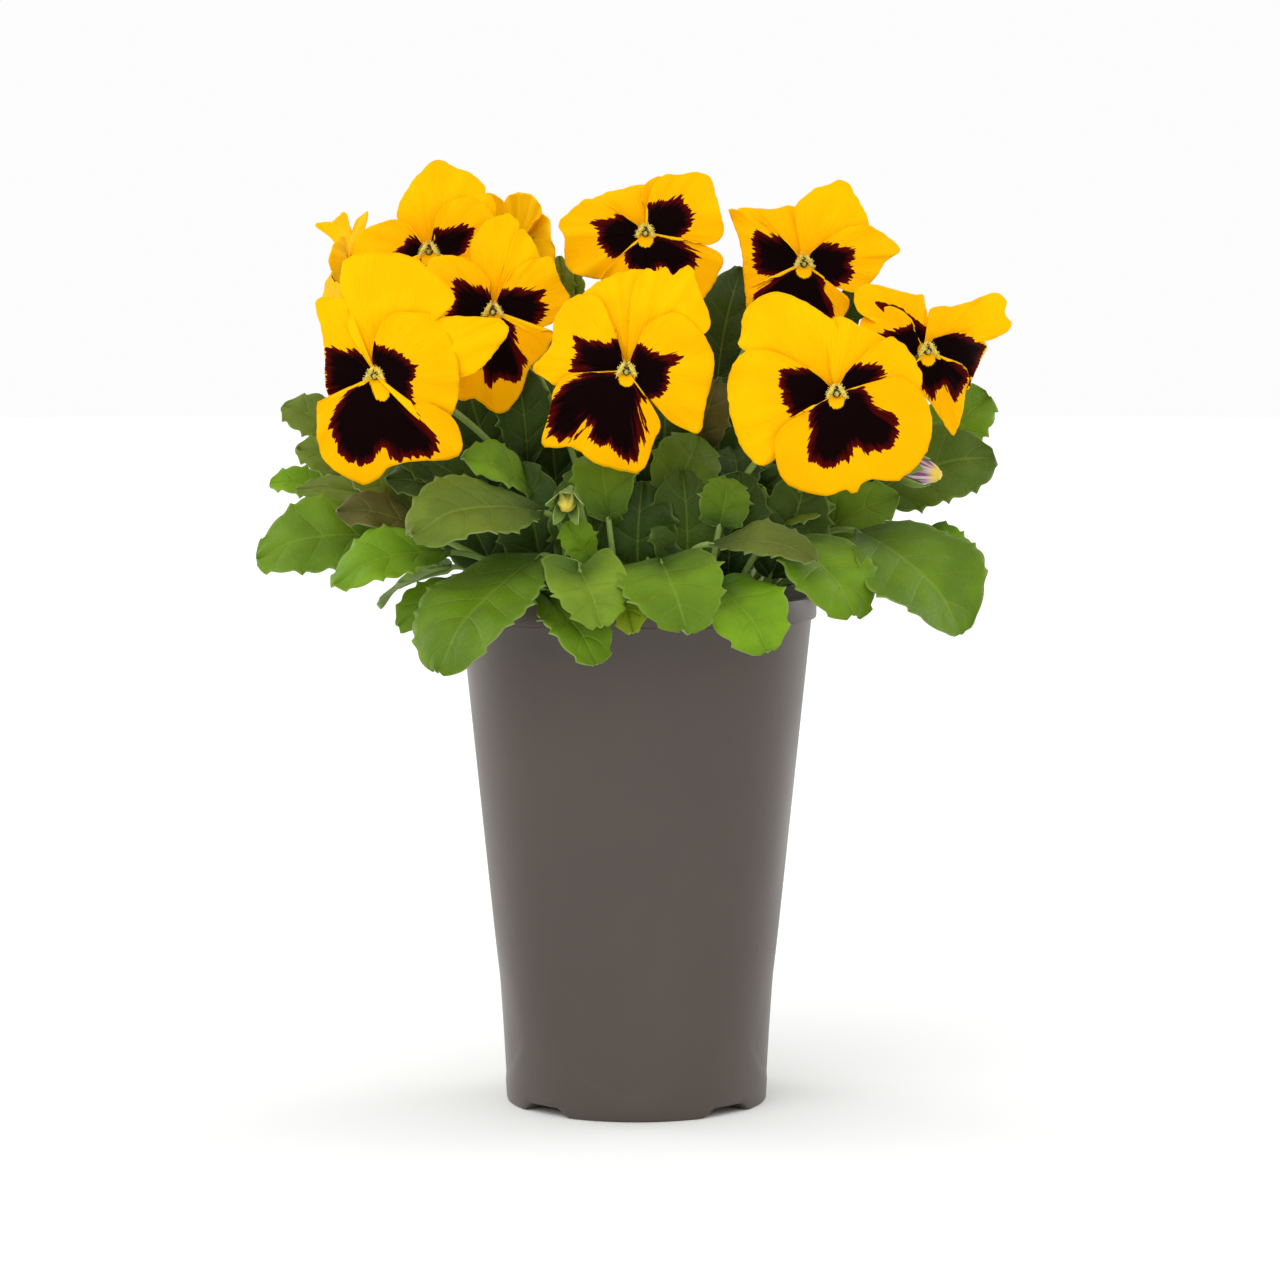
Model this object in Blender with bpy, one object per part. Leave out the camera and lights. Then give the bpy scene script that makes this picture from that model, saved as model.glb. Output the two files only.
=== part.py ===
"""Potted pansy: a square-topped growing pot, its soil, ten flowers, two buds and their leaves.

Metres, +Z up. The origin is on the standing plane at the middle of the plant and pot.
+Y points to the back of the plant: most of the flowers look towards -Y.
Every stalk and leaf stalk has its own foot just above the soil.
"""

import math

import bpy
import bmesh
from mathutils import Matrix, Vector

MM = 0.001
GAP = 0.3 * MM

# --- Pot -------------------------------------------------------------------
POT_HEIGHT = 172.0 * MM
POT_SIDES = 48
BASE_HALF = 44.0 * MM          # half width on the feet
WAIST_HALF = 46.3 * MM         # half width where the side changes its slope
WAIST_Z = 43.0 * MM
NECK_HALF = 58.6 * MM          # half width just under the rim band
NECK_Z = 163.6 * MM
RIM_HALF = 60.3 * MM
RIM_LEDGE_Z = 165.0 * MM
WALL = 1.6 * MM
ROUND_POWER = 2.0              # outline exponent of a circle
SQUARE_POWER = 2.75            # outline exponent of the rounded square at the rim
SQUARE_FROM_Z = 6.0 * MM
SQUARE_FULL_Z = 60.0 * MM
FOOT_HEIGHT = 2.9 * MM         # how far the four notches are raised
FOOT_HALF_ANGLE = 30.1         # each foot reaches this far to either side of its middle
NOTCH_ANGLE = 37.4
FOOT_WIDTH = 6.0 * MM          # from the wall inwards
FLOOR_Z = 3.2 * MM
FLOOR_THICK = 1.6 * MM
DRAIN_RADIUS = 2.6 * MM
DRAIN_RING = 27.0 * MM

# --- Soil ------------------------------------------------------------------
SOIL_Z = 160.0 * MM
FOOT_Z = SOIL_Z + GAP

# --- Leaves ----------------------------------------------------------------
LEAF_STALK_RADIUS = 1.25
LEAF_THICKNESS = 0.9
# Half width along a blade from its base to its tip, as a share of the widest place.
BLADE_STEPS = (0.0, 0.12, 0.32, 0.55, 0.78, 0.93, 1.0)
BLADE_SHAPES = {
    "oval": (0.14, 0.55, 0.92, 1.0, 0.80, 0.50, 0.20),
    "spoon": (0.10, 0.32, 0.66, 0.96, 1.0, 0.70, 0.25),
    "round": (0.16, 0.78, 1.0, 1.0, 0.86, 0.58, 0.24),
}
LEAF_STALK_STEPS = 5

# One row for each leaf, in millimetres and degrees:
# name: (stalk foot x, y), (blade base x, y, z), (tip x, y, z), half width,
#       (direction that the upper face looks), arch, fold, shape.
LEAVES = {
    # left side
    "leaf_left_long": ((-37, -12), (-81, -22, 191), (-125, -30, 187), 14,
                       (0.0, -0.75, 0.65), 4, 1.5, "oval"),
    "leaf_left_bright": ((-38, 10), (-102, 16, 203), (-124, 13, 209), 6,
                         (0.1, -0.8, 0.6), 2, 1.0, "round"),
    "leaf_left_upper": ((-32, 20), (-98, 27, 219), (-121, 30, 235), 8,
                        (0.2, -0.9, 0.4), 2, 1.0, "oval"),
    "leaf_left_inner": ((-32, 3), (-92, 6, 211), (-114, 2, 221), 7.5,
                        (0.2, -0.8, 0.5), 2, 1.0, "oval"),
    "leaf_left_grey": ((-30, -6), (-80, -8, 203), (-113, -13, 209), 6,
                       (0.0, -0.6, 0.8), 2, 1.0, "oval"),
    "leaf_left_brown": ((-36, -21), (-68, -37, 194), (-96, -48, 203), 8,
                        (0.0, -0.75, 0.65), 2, 1.0, "oval"),
    "leaf_left_light": ((-32, -30), (-60, -46, 188), (-97, -64, 181), 11,
                        (0.0, -0.65, 0.75), 3, 1.2, "oval"),
    "leaf_left_shaded": ((-28, -19), (-55, -30, 205), (-81, -38, 213), 8,
                         (0.1, -0.7, 0.7), 2, 1.0, "oval"),
    # front
    "leaf_front_grey": ((-24, -32), (-30, -48, 201), (-70, -80, 199), 14,
                        (-0.1, -0.62, 0.78), 3, 1.5, "oval"),
    "leaf_front_large": ((-22, -40), (-31, -52, 187), (-64, -91, 157), 21,
                         (-0.35, -0.55, 0.76), 4, 2.0, "oval"),
    "leaf_front_heart": ((-9, -42), (-18, -73, 184), (-11, -93, 169), 12,
                         (0.1, -0.80, 0.60), 1.5, 1.0, "round"),
    "leaf_front_low": ((-15, -44), (-31, -64, 176), (-12, -90, 158), 10,
                       (0.2, -0.75, 0.60), 3, 1.5, "spoon"),
    "leaf_front_lime": ((-2, -46), (-5, -62, 178), (-1, -80, 166), 6,
                        (0.0, -0.75, 0.65), 2, 0.8, "round"),
    "leaf_front_round": ((6, -42), (8, -66, 186), (16, -97, 168), 16,
                         (0.0, -0.72, 0.70), 4, 2.0, "round"),
    "leaf_front_bright": ((17, -42), (25, -64, 178), (42, -86, 161), 14,
                          (0.2, -0.70, 0.70), 4, 1.5, "round"),
    "leaf_front_straight": ((15, -36), (23, -52, 190), (57, -68, 187), 9,
                            (0.05, -0.55, 0.85), 2, 1.2, "oval"),
    "leaf_centre_upright": ((-6, -32), (-9, -40, 198), (-12, -30, 222), 10,
                            (0.0, -0.95, 0.3), 1.5, 1.5, "oval"),
    "leaf_centre_dark": ((4, -30), (8, -34, 201), (21, -22, 226), 11,
                         (0.15, -0.9, 0.45), 2, 1.5, "oval"),
    "leaf_centre_small": ((24, -28), (27, -41, 196), (30, -37, 212), 8,
                          (0.1, -0.9, 0.4), 1.5, 1.0, "round"),
    "leaf_centre_back": ((25, -18), (33, -24, 203), (32, -12, 222), 8,
                         (0.1, -0.9, 0.5), 1.5, 1.0, "oval"),
    "leaf_centre_left": ((-17, -20), (-33, -30, 206), (-55, -46, 220), 9,
                         (0.2, -0.7, 0.7), 2, 1.0, "oval"),
    "leaf_shaded_left": ((-24, -10), (-36, -14, 212), (-43, -19, 243), 8,
                         (0.1, -0.95, 0.2), 2, 1.2, "oval"),
    "leaf_shaded_right": ((14, -10), (20, -11, 216), (27, -14, 243), 8,
                          (0.0, -0.95, 0.2), 2, 1.2, "oval"),
    # right side
    "leaf_right_front": ((31, -30), (50, -42, 193), (71, -68, 172), 14,
                         (0.35, -0.60, 0.72), 3, 1.8, "round"),
    "leaf_right_large": ((38, -20), (73, -28, 191), (107, -52, 163), 20,
                         (0.35, -0.62, 0.70), 4, 2.0, "oval"),
    "leaf_right_small": ((42, 2), (98, 8, 192), (114, 6, 181), 7,
                         (0.3, -0.8, 0.6), 1.5, 1.0, "round"),
    "leaf_right_high": ((36, -5), (74, 6, 202), (120, 2, 219), 15,
                        (0.0, -0.88, 0.5), 3, 1.8, "oval"),
    "leaf_right_top": ((32, 14), (94, 29, 214), (121, 33, 238), 11,
                       (-0.1, -0.9, 0.3), 2, 1.2, "round"),
    # back
    "leaf_back_tall": ((20, 10), (27, 25, 232), (36, 32, 282), 11,
                       (0.0, -0.97, 0.2), 2, 1.5, "oval"),
    "leaf_back_right": ((36, 26), (56, 44, 194), (90, 72, 178), 19,
                        (0.45, 0.45, 0.8), 4, 2.0, "oval"),
    "leaf_back_right_low": ((22, 38), (33, 66, 188), (50, 97, 168), 15,
                            (0.2, 0.55, 0.8), 4, 2.0, "round"),
    "leaf_back_middle": ((2, 42), (2, 64, 192), (-3, 97, 180), 18,
                         (0.0, 0.50, 0.85), 4, 2.0, "oval"),
    "leaf_back_left_low": ((-18, 40), (-30, 64, 187), (-46, 96, 166), 15,
                           (-0.2, 0.55, 0.8), 4, 2.0, "round"),
    "leaf_back_left": ((-34, 30), (-56, 46, 196), (-92, 74, 182), 19,
                       (-0.45, 0.45, 0.8), 4, 2.0, "oval"),
    "leaf_back_high_right": ((12, 26), (16, 42, 214), (30, 76, 230), 15,
                             (0.1, 0.6, 0.8), 3, 1.8, "oval"),
    "leaf_back_high_left": ((-14, 26), (-26, 40, 214), (-44, 72, 232), 15,
                            (-0.1, 0.6, 0.8), 3, 1.8, "oval"),
}

# --- Flowers ---------------------------------------------------------------
FLOWER_STALK_RADIUS = 1.2
CALYX_RADIUS = 3.4
HUB_RADIUS = 3.2
HUB_BACK = 5.5                 # behind the plane of the petals
HUB_FRONT = 0.9
PETAL_THICKNESS = 0.9
PETAL_STEPS = (0.04, 0.30, 0.58, 0.82, 0.95, 1.0)
PETAL_WIDTHS = (0.10, 0.52, 0.94, 0.96, 0.66, 0.30)
# Depth of the petals in the flower: two upper ones, two side ones, then the lip.
PETAL_LAYERS = (-3.0, -2.2, -1.1, -0.4, 0.4)

# One row for each flower, in millimetres and degrees:
# name: (stalk foot x, y), (eye x, y, z), (azimuth and elevation that it faces), droop of the rim,
#       petals as (direction, length, half width): upper left, upper right, left, right, lip.
# Directions are anticlockwise from the right of someone who looks at the face of the flower.
FLOWERS = {
    "front_right": ((20, -24), (64, -58, 240), (272, 6), 3,
                    ((127, 37, 15), (52, 28, 15), (188, 34, 16), (20, 29, 13), (-78, 33, 25))),
    "front_centre": ((-1, -22), (-3, -52, 247), (266, 4), 4,
                     ((112, 30, 15), (62, 34, 13), (160, 29, 12), (-12, 29, 14), (-100, 33, 19))),
    "front_left": ((-22, -13), (-83, -48, 242), (262, 4), 4,
                   ((92, 36, 16), (25, 40, 11), (150, 28, 13), (12, 28, 13), (-88, 32, 21))),
    "mid_left": ((-11, -8), (-47, -22, 266), (268, 6), 4,
                 ((110, 32, 14), (65, 30, 12), (165, 18, 12), (10, 25, 11), (-75, 33, 15))),
    "top_left": ((-20, 4), (-69, -2, 286), (268, 8), 3,
                 ((98, 31, 14), (55, 26, 12), (165, 25, 9), (35, 23, 10), (-120, 24, 11))),
    "turned_away": ((-6, 10), (-40, 24, 288), (50, 10), 4,
                    ((110, 26, 12), (60, 26, 12), (170, 22, 10), (10, 24, 10), (-90, 22, 12))),
    "far_left": ((-27, 12), (-100, 21, 282), (205, 5), 5,
                 ((120, 24, 10), (65, 22, 10), (175, 20, 8), (5, 20, 9), (-90, 26, 11))),
    "top_centre": ((4, 2), (3, -6, 292), (270, 10), 4,
                   ((140, 25, 13), (55, 26, 13), (195, 28, 12), (5, 26, 13), (-82, 24, 17))),
    "top_right": ((13, 6), (56, 4, 282), (272, 8), 3,
                  ((120, 26, 12), (62, 31, 12), (160, 30, 13), (8, 34, 11), (-80, 24, 18))),
    "far_right": ((26, -4), (96, -12, 253), (288, 6), 4,
                  ((130, 24, 12), (40, 33, 12), (165, 22, 9), (-15, 28, 13), (-62, 32, 12))),
}

# --- Buds ------------------------------------------------------------------
# name: (stalk foot x, y), (tip of the stalk x, y, z), (azimuth and elevation of the bud),
#       bud length, bud radius.
BUDS = {
    "bud_green": ((-13, -35), (-22, -50, 207), (265, -25), 13, 4.2),
    "bud_purple": ((31, -17), (86, -40, 215), (330, -8), 15, 5.0),
}
BUD_STEPS = (0.0, 0.12, 0.35, 0.65, 0.88, 1.0)
BUD_WIDTHS = (0.36, 0.95, 1.0, 0.86, 0.55, 0.20)

# --- Finishes: red, green, blue (linear) and roughness ------------------------
POT_FINISH = ((0.105, 0.086, 0.075), 0.45)
SOIL_FINISH = ((0.045, 0.028, 0.018), 0.95)
PETAL_FINISH = ((0.98, 0.56, 0.01), 0.60)
LEAF_FINISH = ((0.13, 0.28, 0.03), 0.50)
STALK_FINISH = ((0.20, 0.33, 0.06), 0.55)
GREEN_BUD_FINISH = ((0.45, 0.50, 0.08), 0.55)
PURPLE_BUD_FINISH = ((0.42, 0.20, 0.38), 0.60)

LENS = ((-1, 0), (-0.55, 0.85), (0, 1), (0.55, 0.85), (1, 0), (0.55, -0.85), (0, -1), (-0.55, -0.85))
THIN_LENS = ((-1, 0), (-0.5, 0.9), (0.5, 0.9), (1, 0), (0.5, -0.9), (-0.5, -0.9))
UP = Vector((0, 0, 1))


def clear_scene():
    """Take every object out of the open scene."""
    for item in list(bpy.data.objects):
        bpy.data.objects.remove(item, do_unlink=True)


def finish(name, look):
    """A plain finish of one colour and roughness."""
    colour, roughness = look
    material = bpy.data.materials.new(name + "_finish")
    material.use_nodes = True
    shader = material.node_tree.nodes["Principled BSDF"]
    shader.inputs["Base Color"].default_value = (*colour, 1.0)
    shader.inputs["Roughness"].default_value = roughness
    return material


def add_object(name, bm, look):
    """Turn a bmesh into a named object with its own finish."""
    bmesh.ops.recalc_face_normals(bm, faces=bm.faces)
    mesh = bpy.data.meshes.new(name)
    bm.to_mesh(mesh)
    bm.free()
    mesh.shade_smooth()
    mesh.set_sharp_from_angle(angle=math.radians(50))
    mesh.materials.append(finish(name, look))
    item = bpy.data.objects.new(name, mesh)
    bpy.context.scene.collection.objects.link(item)
    return item


def loft(rings):
    """A closed bmesh through rings of points: an edge ring is extruded from each to the next."""
    bm = bmesh.new()
    ring = [bm.verts.new(point) for point in rings[0]]
    first_cap = list(ring)
    edges = [bm.edges.new((ring[i - 1], ring[i])) for i in range(len(ring))]
    for points in rings[1:]:
        grown = bmesh.ops.extrude_edge_only(bm, edges=edges)["geom"]
        new_verts = {item for item in grown if isinstance(item, bmesh.types.BMVert)}
        ring = [next(edge.other_vert(vert) for edge in vert.link_edges
                     if edge.other_vert(vert) in new_verts) for vert in ring]
        for vert, point in zip(ring, points):
            vert.co = point
        edges = [bm.edges.get((ring[i - 1], ring[i])) for i in range(len(ring))]
    bm.faces.new(first_cap)
    bm.faces.new(ring)
    return bm


def section(centre, side, normal, half_width, half_height, outline, fold=0.0):
    """Points of one cross-section; fold lifts both edges above the middle."""
    points = []
    for across, height in outline:
        lift = fold * across * across
        points.append(centre + side * (across * half_width) + normal * (height * half_height + lift))
    return points


def bezier(points, t):
    """A point on the cubic curve through four control points, and its direction there."""
    p0, p1, p2, p3 = points
    u = 1.0 - t
    place = p0 * u ** 3 + p1 * 3 * u * u * t + p2 * 3 * u * t * t + p3 * t ** 3
    along = (p1 - p0) * 3 * u * u + (p2 - p1) * 6 * u * t + (p3 - p2) * 3 * t * t
    return place, along.normalized()


def stalk_sections(curve, steps, radius, end_side, outline):
    """Round sections along a curve that turn towards end_side, without the last one."""
    rings = []
    for step in range(steps):
        t = step / steps
        place, along = bezier(curve, t)
        side = end_side - along * end_side.dot(along)
        side.normalize()
        rings.append(section(place, side, side.cross(along), radius, radius, outline))
    return rings


def blade_frame(base, tip, face):
    """Length, direction, side and normal of a blade whose upper face looks towards face."""
    along = tip - base
    length = along.length
    along.normalize()
    side = along.cross(face).normalized()
    return length, along, side, side.cross(along)


def add_leaf(name, row):
    """A leaf stalk and its blade as one closed body."""
    foot_xy, base, tip, half_width, face, arch, fold, shape = row
    foot = Vector((foot_xy[0], foot_xy[1], FOOT_Z / MM))
    base = Vector(base)
    tip = Vector(tip)
    length, along, side, normal = blade_frame(base, tip, Vector(face))
    start_along = (along + normal * (4.0 * arch / length)).normalized()
    reach = (base - foot).length
    curve = (foot, foot + UP * (0.42 * reach), base - start_along * (0.34 * reach), base)
    rings = stalk_sections(curve, LEAF_STALK_STEPS, LEAF_STALK_RADIUS, side, LENS)
    for t, share in zip(BLADE_STEPS, BLADE_SHAPES[shape]):
        centre = base + along * (length * t) + normal * (arch * 4.0 * t * (1.0 - t))
        rings.append(section(centre, side, normal, half_width * share, LEAF_THICKNESS / 2 + 0.5 * (t == 0),
                             LENS, fold * share))
    add_object(name, loft([[point * MM for point in ring] for ring in rings]), LEAF_FINISH)


def facing(azimuth, elevation):
    """The right, up and forward directions of a flower that faces one way."""
    a = math.radians(azimuth)
    e = math.radians(elevation)
    forward = Vector((math.cos(e) * math.cos(a), math.cos(e) * math.sin(a), math.sin(e)))
    right = UP.cross(forward).normalized()
    return right, forward.cross(right), forward


def petal_mesh(eye, axes, layer, droop, petal):
    """One petal as a thin closed body that starts inside the hub."""
    right, up, forward = axes
    angle, length, half_width = petal
    a = math.radians(angle)
    out = right * math.cos(a) + up * math.sin(a)
    side = forward.cross(out)
    rings = []
    for t, share in zip(PETAL_STEPS, PETAL_WIDTHS):
        centre = eye + out * (length * t) + forward * (layer - droop * t * t)
        rings.append(section(centre, side, forward, half_width * share, PETAL_THICKNESS / 2, THIN_LENS))
    return loft([[point * MM for point in ring] for ring in rings])


def join(item, helpers):
    """Unite an object with its helpers and keep only the united mesh."""
    for helper in helpers:
        helper.hide_render = True
        helper.display_type = "WIRE"
        modifier = item.modifiers.new("join_" + helper.name, "BOOLEAN")
        modifier.operation = "UNION"
        modifier.solver = "EXACT"
        modifier.object = helper
    graph = bpy.context.evaluated_depsgraph_get()
    united = bpy.data.meshes.new_from_object(item.evaluated_get(graph))
    item.modifiers.clear()
    item.data = united
    for helper in helpers:
        bpy.data.objects.remove(helper, do_unlink=True)


def add_corolla(name, eye, axes, droop, petals):
    """Five petals that meet in a short hub, as one closed body."""
    right, up, forward = axes
    bm = bmesh.new()
    depth = HUB_BACK + HUB_FRONT
    turn = Matrix((right, up, forward)).transposed().to_4x4()
    centre = (eye + forward * ((HUB_FRONT - HUB_BACK) / 2)) * MM
    bmesh.ops.create_cone(bm, cap_ends=True, segments=10, radius1=HUB_RADIUS * 0.8 * MM,
                          radius2=HUB_RADIUS * MM, depth=depth * MM,
                          matrix=Matrix.Translation(centre) @ turn)
    hub = add_object(name, bm, PETAL_FINISH)
    helpers = []
    for number, (layer, petal) in enumerate(zip(PETAL_LAYERS, petals)):
        mesh = petal_mesh(eye, axes, layer, droop, petal)
        helpers.append(add_object(name + "_petal_" + str(number), mesh, PETAL_FINISH))
    join(hub, helpers)


def add_flower(name, row):
    """A corolla and the stalk that ends in its calyx."""
    foot_xy, eye, (azimuth, elevation), droop, petals = row
    eye = Vector(eye)
    axes = facing(azimuth, elevation)
    right, up, forward = axes
    add_corolla("corolla_" + name, eye, axes, droop, petals)
    end = eye - forward * (HUB_BACK + GAP / MM)
    foot = Vector((foot_xy[0], foot_xy[1], FOOT_Z / MM))
    reach = (end - foot).length
    curve = (foot, foot + UP * (0.55 * reach), end - forward * 16 + UP * 4, end)
    rings = stalk_sections(curve, 9, FLOWER_STALK_RADIUS, right, THIN_LENS)
    for back, radius in ((2.4, 1.5), (1.2, CALYX_RADIUS * 0.8), (0.0, CALYX_RADIUS)):
        rings.append(section(end - forward * back, right, right.cross(forward), radius, radius, THIN_LENS))
    add_object("stalk_" + name, loft([[point * MM for point in ring] for ring in rings]), STALK_FINISH)


def add_bud(name, row):
    """A stalk with a closed bud on its end, as one body."""
    foot_xy, neck, (azimuth, elevation), length, radius = row
    look = GREEN_BUD_FINISH if name == "bud_green" else PURPLE_BUD_FINISH
    right, up, forward = facing(azimuth, elevation)
    neck = Vector(neck)
    foot = Vector((foot_xy[0], foot_xy[1], FOOT_Z / MM))
    reach = (neck - foot).length
    curve = (foot, foot + UP * (0.6 * reach), neck - forward * 12 + UP * 4, neck)
    rings = stalk_sections(curve, 8, FLOWER_STALK_RADIUS, right, LENS)
    for t, share in zip(BUD_STEPS, BUD_WIDTHS):
        wide = radius * share
        rings.append(section(neck + forward * (length * t), right, right.cross(forward), wide, wide, LENS))
    add_object(name, loft([[point * MM for point in ring] for ring in rings]), look)


def smooth_step(value, start, end):
    """0 below start, 1 above end, and a smooth rise between them."""
    t = min(1.0, max(0.0, (value - start) / (end - start)))
    return t * t * (3.0 - 2.0 * t)


def pot_half(z):
    """Half width of the outside of the pot, without its rim band."""
    if z < WAIST_Z:
        return BASE_HALF + (WAIST_HALF - BASE_HALF) * z / WAIST_Z
    return WAIST_HALF + (NECK_HALF - WAIST_HALF) * (z - WAIST_Z) / (NECK_Z - WAIST_Z)


def pot_power(z):
    """Exponent of the pot's outline, from a circle at the base to a rounded square."""
    return ROUND_POWER + (SQUARE_POWER - ROUND_POWER) * smooth_step(z, SQUARE_FROM_Z, SQUARE_FULL_Z)


def outline(half, power, z):
    """A ring of points on a superellipse; z is a height or a function of the angle in degrees."""
    points = []
    for i in range(POT_SIDES):
        angle = 2.0 * math.pi * i / POT_SIDES
        c = math.cos(angle)
        s = math.sin(angle)
        reach = half / (abs(c) ** power + abs(s) ** power) ** (1.0 / power)
        height = z(math.degrees(angle)) if callable(z) else z
        points.append(Vector((reach * c, reach * s, height)))
    return points


def foot_edge(degrees):
    """Height of the pot's lower edge: four wide feet with a raised notch between them."""
    from_foot = abs((degrees + 45.0) % 90.0 - 45.0)
    return FOOT_HEIGHT * smooth_step(from_foot, FOOT_HALF_ANGLE, NOTCH_ANGLE)


def add_pot():
    """The pot: floor, feet, wall and rim band as one thin shell with drain holes."""
    inside = FLOOR_Z + FLOOR_THICK
    rings = [
        outline(BASE_HALF - FOOT_WIDTH - 0.4 * MM, ROUND_POWER, FLOOR_Z),
        outline(BASE_HALF - FOOT_WIDTH, ROUND_POWER, foot_edge),
        outline(BASE_HALF - 0.7 * MM, ROUND_POWER, foot_edge),
        outline(BASE_HALF, ROUND_POWER, lambda degrees: foot_edge(degrees) + 0.8 * MM),
    ]
    levels = (6 * MM, 16 * MM, 28 * MM, WAIST_Z, SQUARE_FULL_Z, 110 * MM)
    for z in levels:
        rings.append(outline(pot_half(z), pot_power(z), z))
    rings.append(outline(NECK_HALF, SQUARE_POWER, NECK_Z))
    rings.append(outline(RIM_HALF - 0.9 * MM, SQUARE_POWER, RIM_LEDGE_Z - 0.5 * MM))
    rings.append(outline(RIM_HALF, SQUARE_POWER, RIM_LEDGE_Z + 0.6 * MM))
    rings.append(outline(RIM_HALF, SQUARE_POWER, POT_HEIGHT - 0.6 * MM))
    rings.append(outline(RIM_HALF - 0.6 * MM, SQUARE_POWER, POT_HEIGHT))
    rings.append(outline(RIM_HALF - WALL - 0.6 * MM, SQUARE_POWER, POT_HEIGHT))
    rings.append(outline(RIM_HALF - WALL - 1.0 * MM, SQUARE_POWER, RIM_LEDGE_Z))
    rings.append(outline(NECK_HALF - WALL, SQUARE_POWER, NECK_Z - 1.0 * MM))
    for z in reversed(levels):
        if z > inside:
            rings.append(outline(pot_half(z) - WALL, pot_power(z), z))
    rings.append(outline(pot_half(inside) - WALL, pot_power(inside), inside))
    pot = add_object("pot", loft(rings), POT_FINISH)
    bm = bmesh.new()
    for i in range(5):
        angle = math.radians(45 + 90 * i)
        ring = DRAIN_RING if i < 4 else 0.0
        place = Matrix.Translation((ring * math.cos(angle), ring * math.sin(angle), FLOOR_Z))
        bmesh.ops.create_cone(bm, cap_ends=True, segments=16, radius1=DRAIN_RADIUS, radius2=DRAIN_RADIUS,
                              depth=8 * MM, matrix=place)
    cutter = add_object("drain_cutter", bm, POT_FINISH)
    cutter.hide_render = True
    cutter.display_type = "WIRE"
    modifier = pot.modifiers.new("drain_holes", "BOOLEAN")
    modifier.operation = "DIFFERENCE"
    modifier.solver = "EXACT"
    modifier.object = cutter


def add_soil():
    """The soil that fills the pot, a gap away from its walls and floor."""
    bottom = FLOOR_Z + FLOOR_THICK + GAP
    clearance = WALL + GAP
    rings = [outline(pot_half(bottom) - clearance, pot_power(bottom), bottom)]
    for z in (16 * MM, 28 * MM, WAIST_Z, SQUARE_FULL_Z, 110 * MM, SOIL_Z - 2 * MM):
        rings.append(outline(pot_half(z) - clearance, pot_power(z), z))
    rings.append(outline(pot_half(SOIL_Z) - clearance - 2.5 * MM, SQUARE_POWER, SOIL_Z))
    add_object("soil", loft(rings), SOIL_FINISH)


def main():
    """Build every piece of the planter."""
    clear_scene()
    add_pot()
    add_soil()
    for name, row in LEAVES.items():
        add_leaf(name, row)
    for name, row in FLOWERS.items():
        add_flower(name, row)
    for name, row in BUDS.items():
        add_bud(name, row)


main()
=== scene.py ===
"""The looks of a potted pansy: pot, soil, leaves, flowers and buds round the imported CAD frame.

Laid out as a Blender add-on and run as a script. The tables hold millimetres and degrees in the CAD
frame: +Z is up, -Y is the front, and the origin is on the standing plane under the middle of the pot.
"""

import math
import random

import bmesh
import bpy
from bpy.props import (
    FloatProperty,
    FloatVectorProperty,
    IntProperty,
    PointerProperty,
)
from mathutils import Matrix, Vector, noise


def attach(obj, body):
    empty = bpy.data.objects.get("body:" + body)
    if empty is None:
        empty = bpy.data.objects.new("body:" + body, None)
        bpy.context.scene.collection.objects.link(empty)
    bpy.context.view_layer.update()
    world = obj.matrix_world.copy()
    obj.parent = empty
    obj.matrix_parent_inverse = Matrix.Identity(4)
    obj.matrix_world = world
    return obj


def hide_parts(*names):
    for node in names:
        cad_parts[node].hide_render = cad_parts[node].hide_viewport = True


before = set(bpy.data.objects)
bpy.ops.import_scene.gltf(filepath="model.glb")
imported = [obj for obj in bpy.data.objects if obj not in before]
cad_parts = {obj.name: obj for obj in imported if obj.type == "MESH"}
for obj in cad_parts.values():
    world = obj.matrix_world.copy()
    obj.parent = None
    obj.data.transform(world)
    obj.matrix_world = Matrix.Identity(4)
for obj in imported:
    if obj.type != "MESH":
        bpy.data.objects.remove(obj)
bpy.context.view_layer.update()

bl_info = {
    "name": "Potted pansy",
    "version": (1, 0, 0),
    "blender": (4, 5, 0),
    "location": "3D Viewport > Sidebar > Pansy",
    "description": "Builds the looks of a potted pansy round its packed CAD frame",
    "category": "Object",
}

MM = 0.001
UP = Vector((0, 0, 1))
GRID_SIZE = 0.5                # create_grid's size, which gives a sheet from -0.5 to 0.5

# --- Pot, as in the CAD ------------------------------------------------------
POT_HEIGHT = 172.0
POT_SIDES = 224
BASE_HALF = 44.0
WAIST_HALF = 46.3
WAIST_Z = 43.0
NECK_HALF = 58.6
NECK_Z = 163.6
RIM_HALF = 60.3
RIM_LEDGE_Z = 165.0
WALL = 1.6
ROUND_POWER = 2.0
SQUARE_POWER = 2.75
SQUARE_FROM_Z = 6.0
SQUARE_FULL_Z = 60.0
FOOT_HEIGHT = 2.9
FOOT_HALF_ANGLE = 30.1
NOTCH_ANGLE = 37.4
FOOT_WIDTH = 6.0
FLOOR_Z = 3.2
FLOOR_THICK = 1.6
DRAIN_RADIUS = 2.6
DRAIN_RING = 27.0
DRAIN_HOLES = 5
PANEL_DEPTH = 0.3              # how far the flat side panels lie in where they meet the round base
PANEL_HALF = 27.0
PANEL_Z = 6.5
PANEL_RISE = 15.5
PANEL_SOFTNESS = 2.4           # height over which a panel's lower edge fades in
PANEL_FADE_Z = 22.0
PANEL_END_Z = 62.0
# Heights of the outline's rings, closest where the panels begin.
POT_LEVELS = (
    *(4 + 1.25 * i for i in range(24)),
    *(36 + 4 * i for i in range(8)),
    *(70 + 8 * i for i in range(12)),
)
SHARP_ANGLE = 40               # degrees between faces, from which an edge looks sharp

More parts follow.
